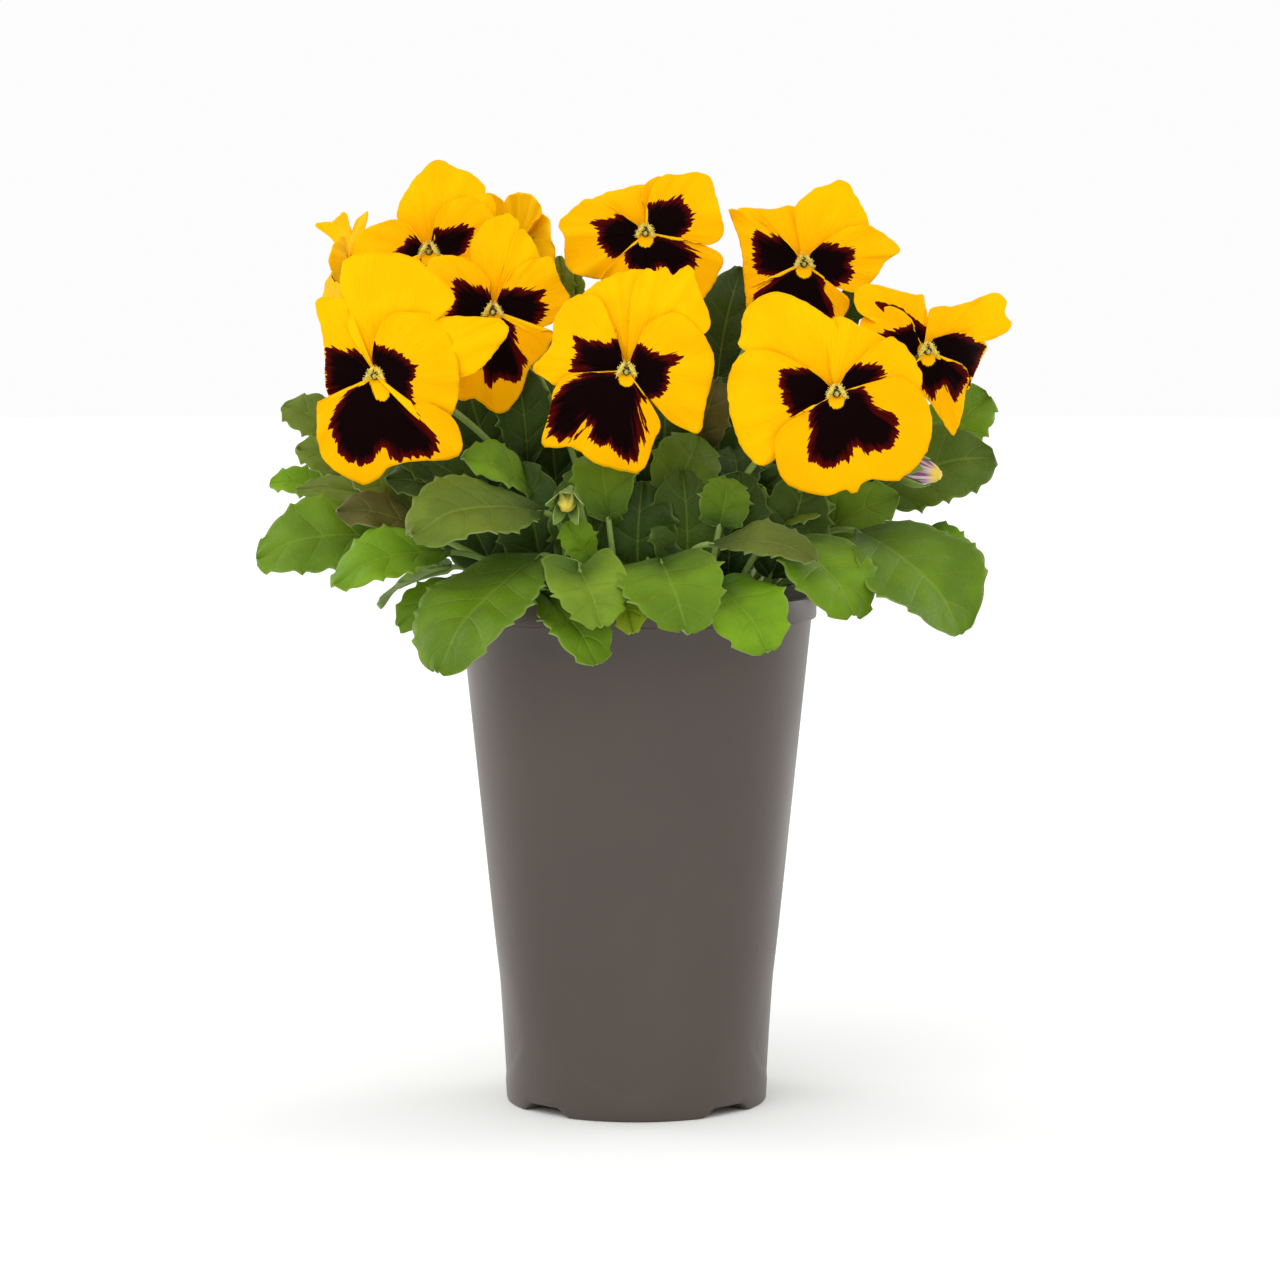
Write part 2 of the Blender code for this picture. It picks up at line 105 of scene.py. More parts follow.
# --- Soil --------------------------------------------------------------------
SOIL_Z = 160.0
SOIL_GAP = 0.3
SOIL_SIDES = 120
SOIL_RINGS = 34
SOIL_CLEARANCE = WALL + SOIL_GAP
FOOT_Z = SOIL_Z + 0.3          # where the stalks start
SOIL_SEED = 5
FIBRES = 90
FIBRE_STEPS = 5
FIBRE_RADIUS = 0.22

# --- Leaves ------------------------------------------------------------------
BLADE_COLUMNS = 18
BLADE_ROWS = 15                # rows of faces in each tooth
BLADE_END = 0.004              # share of the length left off at each end, where the width is nought
VEIN_SLOPE = 0.20              # how far along the blade a side vein runs between midrib and margin
VEIN_SPACING = 10.0
TOOTH_SKEW = 1.15              # above 1, a tooth leans towards the tip
TOOTH_BLUNTNESS = 0.55         # below 1, a tooth is broad and the notch beside it narrow
TOOTH_MIDDLE = 0.72            # share of a tooth's height at which the plain outline runs
BROAD_HALF = 12                # half width from which a leaf has full teeth and waves
LEAF_WAVE = 4.4
MIDRIB_DEPTH = 0.5
PLAIN_LOBE = 0.6
STALK_SIDES = 10
LEAF_STALK_STEPS = 16
MIDRIB_STEPS = 8
MIDRIB_STEP = 0.085            # share of the blade that each step of the midrib takes
LEAF_STALK_RADIUS = 1.2
LEAF_THICKNESS = 0.45
SMALL_LEAF_SEED = 100
# Skew of the widest place, and bluntness of both ends.
BLADE_SHAPES = {
    "oval": (1.25, 0.58),
    "spoon": (1.6, 0.50),
    "round": (0.95, 0.42),
    "heart": (0.74, 0.40),
}
# The "shaded", "deep" and "dark" tints are partly the leaves' own tone and partly painted shade, for leaves
# that lie in the shade of others.
LEAF_TINTS = {
    "bright": (114, 154, 0),
    "lime": (140, 162, 20),
    "fresh": (120, 150, 30),
    "middle": (98, 132, 0),
    "grey": (106, 126, 30),
    "dull": (92, 104, 28),
    "shaded": (82, 108, 4),
    "deep": (60, 86, 2),
    "dark": (42, 68, 2),
    "brown": (84, 78, 24),
}

# The CAD node's name without "leaf_": (stalk foot x, y), (blade base x, y, z), (tip x, y, z),
# half width, (direction that the upper face looks), arch, fold, shape, tint.
LEAVES = {
    # left side
    "left_long": ((-37, -12), (-81, -22, 191), (-125, -30, 187), 14,
                  (0, -0.75, 0.65), 4, 1.5, "oval", "middle"),
    "left_bright": ((-38, 10), (-102, 16, 203), (-124, 13, 209), 6,
                    (0.1, -0.8, 0.6), 2, 1, "round", "bright"),
    "left_upper": ((-32, 20), (-98, 27, 219), (-121, 30, 235), 8, (0.2, -0.9, 0.4), 2, 1, "oval", "grey"),
    "left_inner": ((-32, 3), (-92, 6, 211), (-114, 2, 221), 7.5, (0.2, -0.8, 0.5), 2, 1, "oval", "grey"),
    "left_grey": ((-30, -6), (-80, -8, 203), (-113, -13, 209), 6, (0, -0.6, 0.8), 2, 1, "oval", "grey"),
    "left_brown": ((-36, -21), (-68, -37, 194), (-96, -48, 203), 8,
                   (0, -0.75, 0.65), 2, 1, "oval", "brown"),
    "left_light": ((-32, -30), (-60, -46, 188), (-97, -64, 181), 11,
                   (0, -0.65, 0.75), 3, 1.2, "oval", "bright"),
    "left_shaded": ((-28, -19), (-55, -30, 205), (-81, -38, 213), 8,
                    (0.1, -0.7, 0.7), 2, 1, "oval", "dark"),
    # front
    "front_grey": ((-24, -32), (-30, -48, 201), (-70, -80, 199), 17,
                   (-0.1, -0.62, 0.78), 3, 1.5, "oval", "grey"),
    "front_large": ((-22, -40), (-31, -52, 187), (-64, -91, 157), 21,
                    (-0.35, -0.55, 0.76), 4, 2, "oval", "middle"),
    "front_heart": ((-9, -42), (-18, -73, 184), (-11, -93, 169), 12,
                    (0.1, -0.80, 0.60), 1.5, 1, "heart", "fresh"),
    "front_low": ((-15, -44), (-31, -64, 176), (-12, -90, 158), 10,
                  (0.2, -0.75, 0.60), 3, 1.5, "spoon", "middle"),
    "front_lime": ((-2, -46), (-5, -62, 178), (-1, -80, 166), 6, (0, -0.75, 0.65), 2, 0.8, "round", "lime"),
    "front_round": ((6, -42), (8, -66, 186), (16, -97, 168), 16, (0, -0.72, 0.70), 4, 2, "round", "middle"),
    "front_bright": ((17, -42), (25, -64, 178), (42, -86, 161), 14,
                     (0.2, -0.70, 0.70), 4, 1.5, "round", "bright"),
    "front_straight": ((15, -36), (23, -53, 191), (57, -70, 189), 9,
                       (0.05, -0.55, 0.85), 2, 1.2, "oval", "dull"),
    "centre_upright": ((-6, -32), (-9, -40, 198), (-12, -30, 222), 10,
                       (0, -0.95, 0.3), 1.5, 1.5, "oval", "middle"),
    "centre_dark": ((4, -30), (8, -34, 201), (21, -22, 226), 11,
                    (0.15, -0.9, 0.45), 2, 1.5, "oval", "shaded"),
    "centre_small": ((24, -28), (27, -41, 196), (30, -37, 212), 8,
                     (0.1, -0.9, 0.4), 1.5, 1, "round", "middle"),
    "centre_back": ((25, -18), (33, -24, 203), (32, -12, 222), 8, (0.1, -0.9, 0.5), 1.5, 1, "oval", "dark"),
    "centre_left": ((-17, -20), (-33, -30, 206), (-55, -46, 220), 9,
                    (0.2, -0.7, 0.7), 2, 1, "oval", "middle"),
    "shaded_left": ((-24, -10), (-36, -14, 214), (-40, -19, 249), 9,
                    (0.1, -0.95, 0.2), 2, 1.2, "oval", "dark"),
    "shaded_right": ((14, -10), (20, -11, 216), (27, -14, 243), 8,
                     (0, -0.95, 0.2), 2, 1.2, "oval", "brown"),
    # right side
    "right_front": ((31, -30), (50, -42, 193), (71, -68, 172), 16.5,
                    (0.35, -0.60, 0.72), 3, 1.8, "round", "middle"),
    "right_large": ((38, -20), (72, -28, 194), (107, -52, 165), 23,
                    (0.35, -0.62, 0.70), 6, 2, "oval", "middle"),
    "right_small": ((42, 2), (98, 8, 192), (114, 6, 181), 7, (0.3, -0.8, 0.6), 1.5, 1, "round", "bright"),
    "right_high": ((36, -5), (74, 6, 202), (120, 2, 219), 15, (0, -0.88, 0.5), 3, 1.8, "oval", "shaded"),
    "right_top": ((32, 14), (94, 29, 214), (121, 33, 238), 11,
                  (-0.1, -0.9, 0.3), 2, 1.2, "round", "middle"),
    # back
    "back_tall": ((20, 10), (27, 25, 232), (36, 32, 282), 11, (0, -0.97, 0.2), 2, 1.5, "oval", "dark"),
    "back_right": ((36, 26), (56, 44, 194), (90, 72, 178), 19, (0.45, 0.45, 0.8), 4, 2, "oval", "bright"),
    "back_right_low": ((22, 38), (33, 66, 188), (50, 97, 168), 15,
                       (0.2, 0.55, 0.8), 4, 2, "round", "middle"),
    "back_middle": ((2, 42), (2, 64, 192), (-3, 97, 180), 18, (0, 0.50, 0.85), 4, 2, "oval", "grey"),
    "back_left_low": ((-18, 40), (-30, 64, 187), (-46, 96, 166), 15,
                      (-0.2, 0.55, 0.8), 4, 2, "round", "bright"),
    "back_left": ((-34, 30), (-56, 46, 196), (-92, 74, 182), 19,
                  (-0.45, 0.45, 0.8), 4, 2, "oval", "middle"),
    "back_high_right": ((12, 26), (16, 42, 214), (30, 76, 230), 15,
                        (0.1, 0.6, 0.8), 3, 1.8, "oval", "middle"),
    "back_high_left": ((-14, 26), (-26, 40, 214), (-44, 72, 232), 15,
                       (-0.1, 0.6, 0.8), 3, 1.8, "oval", "bright"),
}

# Small leaves between the others, with no CAD node of their own. Rows as above, and the names of
# the pieces begin with "small_leaf_".
SMALL_LEAVES = {
    "tip_left": ((-14, 6), (-24, 18, 262), (-26, 20, 285), 4, (0.1, -0.97, 0.2), 1, 0.6, "oval", "grey"),
    "tip_middle": ((-8, 8), (-19, 20, 260), (-21, 22, 281), 3.5, (0, -0.97, 0.2), 1, 0.6, "oval", "grey"),
    "tip_right": ((24, 12), (66, 20, 254), (77, 22, 277), 5, (0.1, -0.95, 0.3), 1, 0.8, "oval", "dark"),
    "centre_right": ((28, -16), (33, -26, 195), (41, -28, 209), 5.5,
                     (0.1, -0.9, 0.4), 1, 0.8, "round", "middle"),
    "right_flat": ((32, -14), (44, -22, 196), (65, -27, 203), 4.5,
                   (0, -0.75, 0.65), 1.5, 0.8, "oval", "grey"),
    "right_upper": ((30, -8), (38, -13, 204), (52, -17, 214), 5, (0.1, -0.85, 0.5), 1, 0.8, "oval", "dark"),
    "right_inner": ((30, -2), (50, -4, 204), (74, -8, 214), 7, (0, -0.85, 0.5), 1.5, 1, "oval", "dark"),
    "right_back": ((28, 8), (52, 14, 212), (78, 18, 226), 8, (0.1, -0.85, 0.5), 2, 1, "oval", "middle"),
    "left_inner": ((-28, -2), (-52, -8, 208), (-74, -14, 216), 7, (0, -0.8, 0.6), 1.5, 1, "oval", "dark"),
    "left_back": ((-26, 12), (-56, 14, 214), (-84, 16, 226), 8, (0, -0.85, 0.5), 2, 1, "oval", "dark"),
    "left_under": ((-28, -24), (-52, -44, 178), (-76, -66, 168), 8, (0, -0.6, 0.8), 2, 1, "oval", "middle"),
    "centre_low": ((-6, -36), (-14, -46, 184), (-22, -50, 198), 6,
                   (0, -0.85, 0.5), 1, 0.8, "spoon", "middle"),
    "behind_left": ((-10, 14), (-24, 26, 236), (-34, 36, 258), 9, (0, 0.9, 0.4), 2, 1, "oval", "grey"),
    "behind_right": ((8, 16), (10, 30, 240), (12, 42, 264), 9, (0.1, 0.9, 0.4), 2, 1, "oval", "dark"),
    "behind_far_right": ((24, 18), (46, 32, 226), (66, 46, 246), 10,
                         (0.3, 0.85, 0.5), 2, 1, "oval", "middle"),
    "behind_far_left": ((-26, 20), (-52, 34, 222), (-72, 50, 240), 10,
                        (-0.3, 0.85, 0.5), 2, 1, "oval", "bright"),
    "back_low_left": ((-10, 44), (-14, 58, 178), (-22, 80, 164), 9,
                      (-0.1, 0.6, 0.8), 2, 1, "round", "lime"),
    "back_low_right": ((12, 44), (16, 58, 178), (22, 82, 163), 9, (0.1, 0.6, 0.8), 2, 1, "round", "bright"),
    "side_left": ((-42, 16), (-70, 34, 192), (-98, 50, 182), 11, (-0.5, 0.3, 0.8), 2, 1.2, "oval", "grey"),
    "side_right": ((42, 14), (68, 28, 190), (98, 40, 176), 11, (0.5, 0.3, 0.8), 2, 1.2, "oval", "middle"),
    "side_low_left": ((-44, 0), (-62, 4, 180), (-88, 10, 168), 10,
                      (-0.5, 0, 0.85), 2, 1.2, "round", "middle"),
    "side_low_right": ((44, -6), (60, -8, 180), (78, -8, 172), 9,
                       (0.5, -0.1, 0.85), 2, 1.2, "round", "dark"),
    "left_cover": ((-30, -10), (-48, -22, 204), (-80, -34, 224), 9,
                   (0, -0.85, 0.5), 2, 1.2, "oval", "deep"),
    "left_under_lip": ((-32, -12), (-58, -20, 196), (-92, -30, 214), 9,
                       (0, -0.85, 0.5), 2, 1.2, "oval", "grey"),
    "right_cover": ((34, -6), (56, -10, 190), (86, -18, 206), 10,
                    (0.1, -0.85, 0.5), 2, 1.2, "oval", "middle"),
    # The inner leaves fill the middle of the plant; their dark tints are partly painted shade between the
    # leaves.
    "inner_front_1": ((-36, -16), (-44, -20, 176), (-60, -26, 212), 12,
                      (-0.2, -0.9, 0.4), 2, 1.2, "oval", "dark"),
    "inner_front_2": ((-26, -20), (-30, -26, 176), (-38, -34, 216), 12,
                      (-0.1, -0.9, 0.4), 2, 1.2, "oval", "dark"),
    "inner_front_3": ((-14, -22), (-16, -28, 174), (-18, -36, 214), 12,
                      (0, -0.9, 0.4), 2, 1.2, "oval", "deep"),
    "inner_front_4": ((0, -22), (1, -29, 172), (2, -36, 210), 13, (0, -0.9, 0.4), 2, 1.2, "round", "dark"),
    "inner_front_5": ((14, -24), (16, -30, 174), (15, -36, 214), 12,
                      (0, -0.9, 0.4), 2, 1.2, "oval", "deep"),
    "inner_front_6": ((26, -20), (30, -26, 176), (34, -34, 213), 12,
                      (0.1, -0.9, 0.4), 2, 1.2, "oval", "dark"),
    "inner_front_7": ((36, -14), (44, -20, 178), (56, -28, 212), 12,
                      (0.2, -0.9, 0.4), 2, 1.2, "round", "deep"),
    "inner_front_8": ((40, -4), (56, -8, 182), (80, -14, 210), 12,
                      (0.2, -0.85, 0.5), 2, 1.2, "oval", "dark"),
    "inner_upper_1": ((-26, 0), (-44, -4, 200), (-58, -6, 246), 12,
                      (0, -0.95, 0.2), 2, 1.2, "oval", "dark"),
    "inner_upper_2": ((-20, 2), (-26, 0, 200), (-27, -2, 250), 13, (0, -0.95, 0.2), 2, 1.2, "oval", "dark"),
    "inner_upper_3": ((-8, 2), (-8, 0, 194), (-7, -2, 244), 13, (0, -0.95, 0.2), 2, 1.2, "oval", "dark"),
    "inner_upper_4": ((6, 0), (8, 0, 192), (10, -2, 240), 13, (0, -0.95, 0.2), 2, 1.2, "oval", "dark"),
    "inner_upper_5": ((20, 0), (26, 2, 194), (30, 2, 244), 13, (0, -0.95, 0.2), 2, 1.2, "oval", "dark"),
    "inner_upper_6": ((28, 0), (44, 2, 196), (54, 2, 242), 12, (0, -0.95, 0.2), 2, 1.2, "oval", "dark"),
    "inner_back_1": ((-28, 22), (-34, 28, 178), (-44, 38, 216), 13,
                     (-0.2, 0.9, 0.4), 2, 1.2, "oval", "middle"),
    "inner_back_2": ((-10, 24), (-10, 32, 176), (-12, 42, 218), 13, (0, 0.9, 0.4), 2, 1.2, "oval", "dark"),
    "inner_back_3": ((10, 24), (11, 32, 176), (12, 42, 218), 13, (0, 0.9, 0.4), 2, 1.2, "oval", "middle"),
    "inner_back_4": ((28, 20), (34, 28, 178), (44, 38, 216), 13, (0.2, 0.9, 0.4), 2, 1.2, "oval", "dark"),
    "inner_left": ((-42, 4), (-50, 6, 174), (-66, 8, 204), 13, (-0.9, 0.1, 0.4), 2, 1.2, "oval", "middle"),
    "inner_right": ((42, 6), (50, 8, 174), (66, 12, 204), 13, (0.9, 0.1, 0.4), 2, 1.2, "oval", "middle"),
}
# How far a leaf's lobes reach back past its stalk, where it isn't PLAIN_LOBE.
HEART_LOBES = {
    "leaf_front_heart": 11.0,
    "leaf_front_round": 6.0,
    "leaf_front_bright": 4.0,
    "leaf_right_front": 4.0,
    "leaf_centre_upright": 3.0,
    "leaf_centre_small": 2.5,
}

# --- Flowers -----------------------------------------------------------------
PETAL_COLUMNS = 60
PETAL_ROWS = 24
PETAL_START = 0.04             # share of a petal's reach where it comes out of the throat
PETAL_THICKNESS = 0.32
PETAL_BOW = 1.6                # how far the middle of a petal stands forward
PETAL_CUP = 0.7                # how far its sides lie back
RIM_JAG = 0.02
USUAL_FRAY = 1.9
NO_BLOTCH = -9.0
STREAK_RADIUS = 18.0           # distance from the eye at which the flat width of a petal is true
HUB_BACK = 5.5
FLOWER_STALK_RADIUS = 1.2
PAD_LEAN = 30                  # degrees
PAD_CENTRE = (1.85, 0.3, 2.0)  # of the right pad; the left one mirrors it
PAD_HALF = (0.75, 2.8, 0.8)
PAD_HAIRS = 46
HAIR_SPREAD = (1.2, 0.6, 1.3)  # how the hairs turn away from the middle of a pad
HAIR_LENGTH = 0.75
HAIR_FOOT_RADIUS = 0.13
HAIR_TIP_RADIUS = 0.05
STIGMA = ((0, -0.7, 2.1), (0.75, 0.85, 0.8))    # centre from the eye, and half sizes
# Painted shade: a dark lump that stands for the shaded opening of the throat.
THROAT_SHADE_LUMP = ((0, 0.1, 1.3), (1.5, 1.9, 0.8))
SEPALS = 5
SEPAL_COLUMNS = 6
SEPAL_ROWS = 14
SEPAL_LENGTH = 11.0
SEPAL_HALF = 2.1
SEPAL_RISE = 2.2
SEPAL_THICKNESS = 0.3
PETAL_NAMES = ("upper_left", "upper_right", "left", "right", "lip")
PETAL_LAYERS = {"upper_left": -3.8, "upper_right": -2.7, "left": -1.3, "right": -0.2, "lip": 1.0}
PETAL_WARMTH = {"upper_left": 0.0, "upper_right": 0.0, "left": 0.25, "right": 0.25, "lip": 1.0}

# name: (stalk foot x, y), (eye x, y, z), (azimuth and elevation that it faces), droop of the rim.
FLOWERS = {
    "front_right": ((20, -24), (64, -58, 240), (272, 6), 3),
    "front_centre": ((-1, -22), (-3, -52, 247), (266, 4), 4),
    "front_left": ((-22, -13), (-84, -48, 245.5), (262, 4), 4),
    "mid_left": ((-11, -8), (-47, -22, 266), (268, 6), 4),
    "top_left": ((-20, 4), (-69, -2, 286), (268, 8), 3),
    "turned_away": ((-6, 10), (-40, 24, 288), (50, 10), 4),
    "far_left": ((-27, 12), (-100, 21, 282), (205, 5), 5),
    "top_centre": ((4, 2), (3, -6, 292), (270, 10), 4),
    "top_right": ((13, 6), (56, 4, 282), (272, 8), 3),
    "far_right": ((26, -4), (96, -12, 253), (288, 6), 4),
}

# The edge of each petal and of its dark blotch, as right and up of the eye for someone who faces the
# flower. An edge runs round the petal from one side of the eye to the other.
PETAL_EDGES = {
    "front_right": {
        "upper_left": ((-8, 8), (-29, 14), (-30, 20), (-28, 28), (-20, 33), (-12, 31), (-4, 26), (1, 21),
                       (1, 9)),
        "upper_right": ((-2, 9), (-3, 19), (1, 25), (8, 22), (15, 19), (20, 13), (9, 5)),
        "left": ((-5, 5), (-16, 12), (-28, 14), (-34, 6), (-34, -6), (-29, -19), (-22, -23), (-12, -12),
                 (-4, -4)),
        "right": ((3, 6), (10, 13), (18, 18), (25, 12), (28, 3), (20, -3), (6, -1)),
        "lip": ((-5, -4), (-15, -9), (-20, -16), (-17, -28), (-9, -32), (-2, -33), (3, -31), (6, -32.5),
                (10, -28), (20, -28), (28, -21), (31, -11), (29, -2), (20, 5), (6, 1)),
    },
    "front_centre": {
        "upper_left": ((-3, 8), (-8, 18), (-15, 24), (-13, 27), (-6, 31), (1, 33), (7, 31), (6, 16)),
        "upper_right": ((0, 9), (1, 24), (5, 33), (9, 32), (12, 34), (14, 31), (17, 33), (20, 34),
                        (23, 26), (26, 13), (8, 6)),
        "left": ((-2, 5), (-5, 16), (-10, 24), (-18, 24), (-24, 17), (-25, 8), (-31, 1), (-26, -3),
                 (-22, -5), (-12, -2)),
        "right": ((2, 6), (6, 14), (10, 17), (16, 19), (21, 16), (26, 9), (28, 2), (25, -12), (23, -20),
                  (14, -16), (4, -6)),
        "lip": ((-5, -1), (-17, -1), (-23, -5), (-25, -14), (-28, -23), (-24, -25), (-17, -25),
                (-10, -30), (2, -33), (6, -31), (9, -22), (11, -18), (8, -11), (3, -5)),
    },
    "front_left": {
        "upper_left": ((-4, 6), (-9, 18), (-13, 30), (-11, 38), (-2, 40), (9, 39), (18, 33), (25, 25),
                       (19, 18), (5, 8)),
        "upper_right": ((5, 8), (18, 18), (30, 19), (40, 18), (42, 14), (38, 8), (30, 0), (12, 0)),
        "left": ((-3, 5), (-9, 14), (-10, 24), (-15, 25), (-21, 24), (-18, 12), (-17, 0), (-15, -8),
                 (-7, -5)),
        "right": ((-1, 5), (1, 14), (6, 20), (13, 20), (20, 19), (26, 7), (27, -4), (25, -12), (18, -18),
                  (12, -9), (4, -4)),
        "lip": ((-4, -4), (-12, -8), (-19, -9), (-19, -20), (-17, -28), (-6, -35), (0, -34), (4, -30),
                (12, -28), (27, -26), (26, -15), (18, -9), (5, -3)),
    },
    "mid_left": {
        "upper_left": ((-3, 8), (-8, 20), (-5, 28), (0, 32), (5, 33), (8, 28), (5, 12)),
        "upper_right": ((1, 8), (5, 22), (9, 28), (13, 23), (15, 15), (6, 6)),
        "left": ((-1, 6), (-3, 13), (-11, 18), (-21, 18), (-24, 9), (-20, 1), (-14, -4), (-4, -3)),
        "right": ((2, 6), (8, 15), (15, 18), (19, 18), (22, 10), (25, 5), (22, 0), (19, -4), (11, -7),
                  (4, -4)),
        "lip": ((3, -3), (12, -7), (20, -7), (17, -14), (12, -19), (9, -27), (4, -33), (0, -33), (-6, -29),
                (-12, -29), (-12, -20), (-7, -9), (-2, -3)),
    },
    "top_left": {
        "upper_left": ((-3, 4), (-11, 11), (-10, 18), (-5, 26), (2, 32), (8, 29), (15, 26), (18, 20),
                       (10, 9)),
        "upper_right": ((3, 6), (13, 19), (19, 20), (22, 15), (20, 7), (8, 2)),
        "left": ((-3, 3), (-9, 10), (-16, 10), (-24, 6), (-27, -3), (-24, -11), (-13, -9), (-4, -4)),
        "right": ((2, 4), (2, 11), (7, 17), (15, 18), (21, 13), (21, 3), (15, -6), (5, -4)),
        "lip": ((-4, -4), (-13, -6), (-15, -13), (-9, -19), (1, -19), (8, -14), (10, -5), (4, -2)),
    },
    "turned_away": {
        "upper_left": ((-2, 5), (-11, 8), (-18, 12), (-16, 18), (-7, 19), (0, 16), (2, 8)),
        "upper_right": ((0, 5), (0, 13), (5, 19), (13, 18), (17, 12), (12, 8), (4, 2)),
        "left": ((-2, 5), (-10, 12), (-19, 9), (-21, 1), (-16, -8), (-5, -5)),
        "right": ((3, 5), (11, 12), (20, 10), (22, 2), (17, -7), (5, -4)),
        "lip": ((-4, -2), (-13, -8), (-14, -16), (-7, -22), (2, -20), (9, -22), (14, -14), (12, -7),
                (4, -2)),
    },
    "far_left": {
        "upper_left": ((-2, 4), (-9, 6), (-17, 12), (-15, 14), (-7, 15), (0, 17), (2, 7)),
        "upper_right": ((0, 5), (1, 14), (5, 18), (9, 17), (9, 11), (4, 3)),
        "left": ((-2, 4), (-11, 9), (-19, 6), (-18, -3), (-13, -7), (-4, -3)),
        "right": ((3, 4), (11, 9), (18, 6), (20, -2), (13, -8), (4, -3)),
        "lip": ((-4, -2), (-11, -8), (-11, -18), (-5, -25), (2, -23), (8, -24), (11, -15), (9, -7),
                (4, -2)),
    },
    "top_centre": {
        "upper_left": ((-3, 4), (-16, 9), (-18, 13), (-13, 15), (-8, 16), (0, 17), (2, 8)),
        "upper_right": ((0, 5), (-1, 15), (4, 20), (9, 19), (15, 21), (20, 17), (18, 9), (7, 4)),
        "left": ((-3, 3), (-12, 9), (-19, 12), (-24, 9), (-29, 4), (-27, -1), (-27, -8), (-24, -13),
                 (-16, -15), (-10, -14), (-4, -6)),
        "right": ((1, 3), (1, 12), (5, 19), (12, 20), (17, 21), (22, 19), (25, 7), (26, 0), (20, -4),
                  (5, -2)),
        "lip": ((-3, -4), (-10, -10), (-15, -17), (-10, -24), (2, -28), (12, -27), (20, -21),
                (24, -14), (26, -9), (22, -5), (5, -2)),
    },
    "top_right": {
        "upper_left": ((-2, 5), (-14, 10), (-22, 17), (-20, 20), (-11, 19), (-2, 20), (1, 12)),
        "upper_right": ((0, 5), (-3, 18), (3, 25), (8, 27), (14, 29), (18, 24), (22, 12), (5, 4)),
        "left": ((-3, 4), (-12, 13), (-24, 19), (-24, 16), (-21, 6), (-20, -5), (-18, -13), (-10, -5)),
        "right": ((3, 4), (12, 11), (21, 13), (28, 10), (33, 5), (28, 1), (24, -5), (17, -10), (6, -6)),
        "lip": ((-3, -3), (-12, -6), (-19, -10), (-18, -19), (-10, -25), (0, -26), (9, -23), (14, -17),
                (15, -12), (9, -8), (3, -3)),
    },
    "far_right": {
        "upper_left": ((-2, 4), (-12, 11), (-20, 12), (-22, 18), (-18, 23), (-9, 21), (-2, 19), (2, 18),
                       (2, 6)),
        "upper_right": ((2, 5), (3, 14), (11, 15), (19, 17), (28, 20), (32, 17), (31, 13), (33, 8),
                        (25, 4), (6, 1)),
        "left": ((-3, 4), (-6, 12), (-12, 15), (-20, 11), (-21, 6), (-17, 1), (-12, -3), (-4, -2)),
        "right": ((3, 4), (12, 6), (20, 5), (24, 2), (21, -3), (18, -8), (15, -13), (7, -8), (3, -3)),
        "lip": ((3, -3), (14, -6), (14, -14), (12, -23), (10, -28), (7, -26), (4, -22), (0, -17),
                (-5, -11), (-5, -5), (-2, -3)),
    },
}
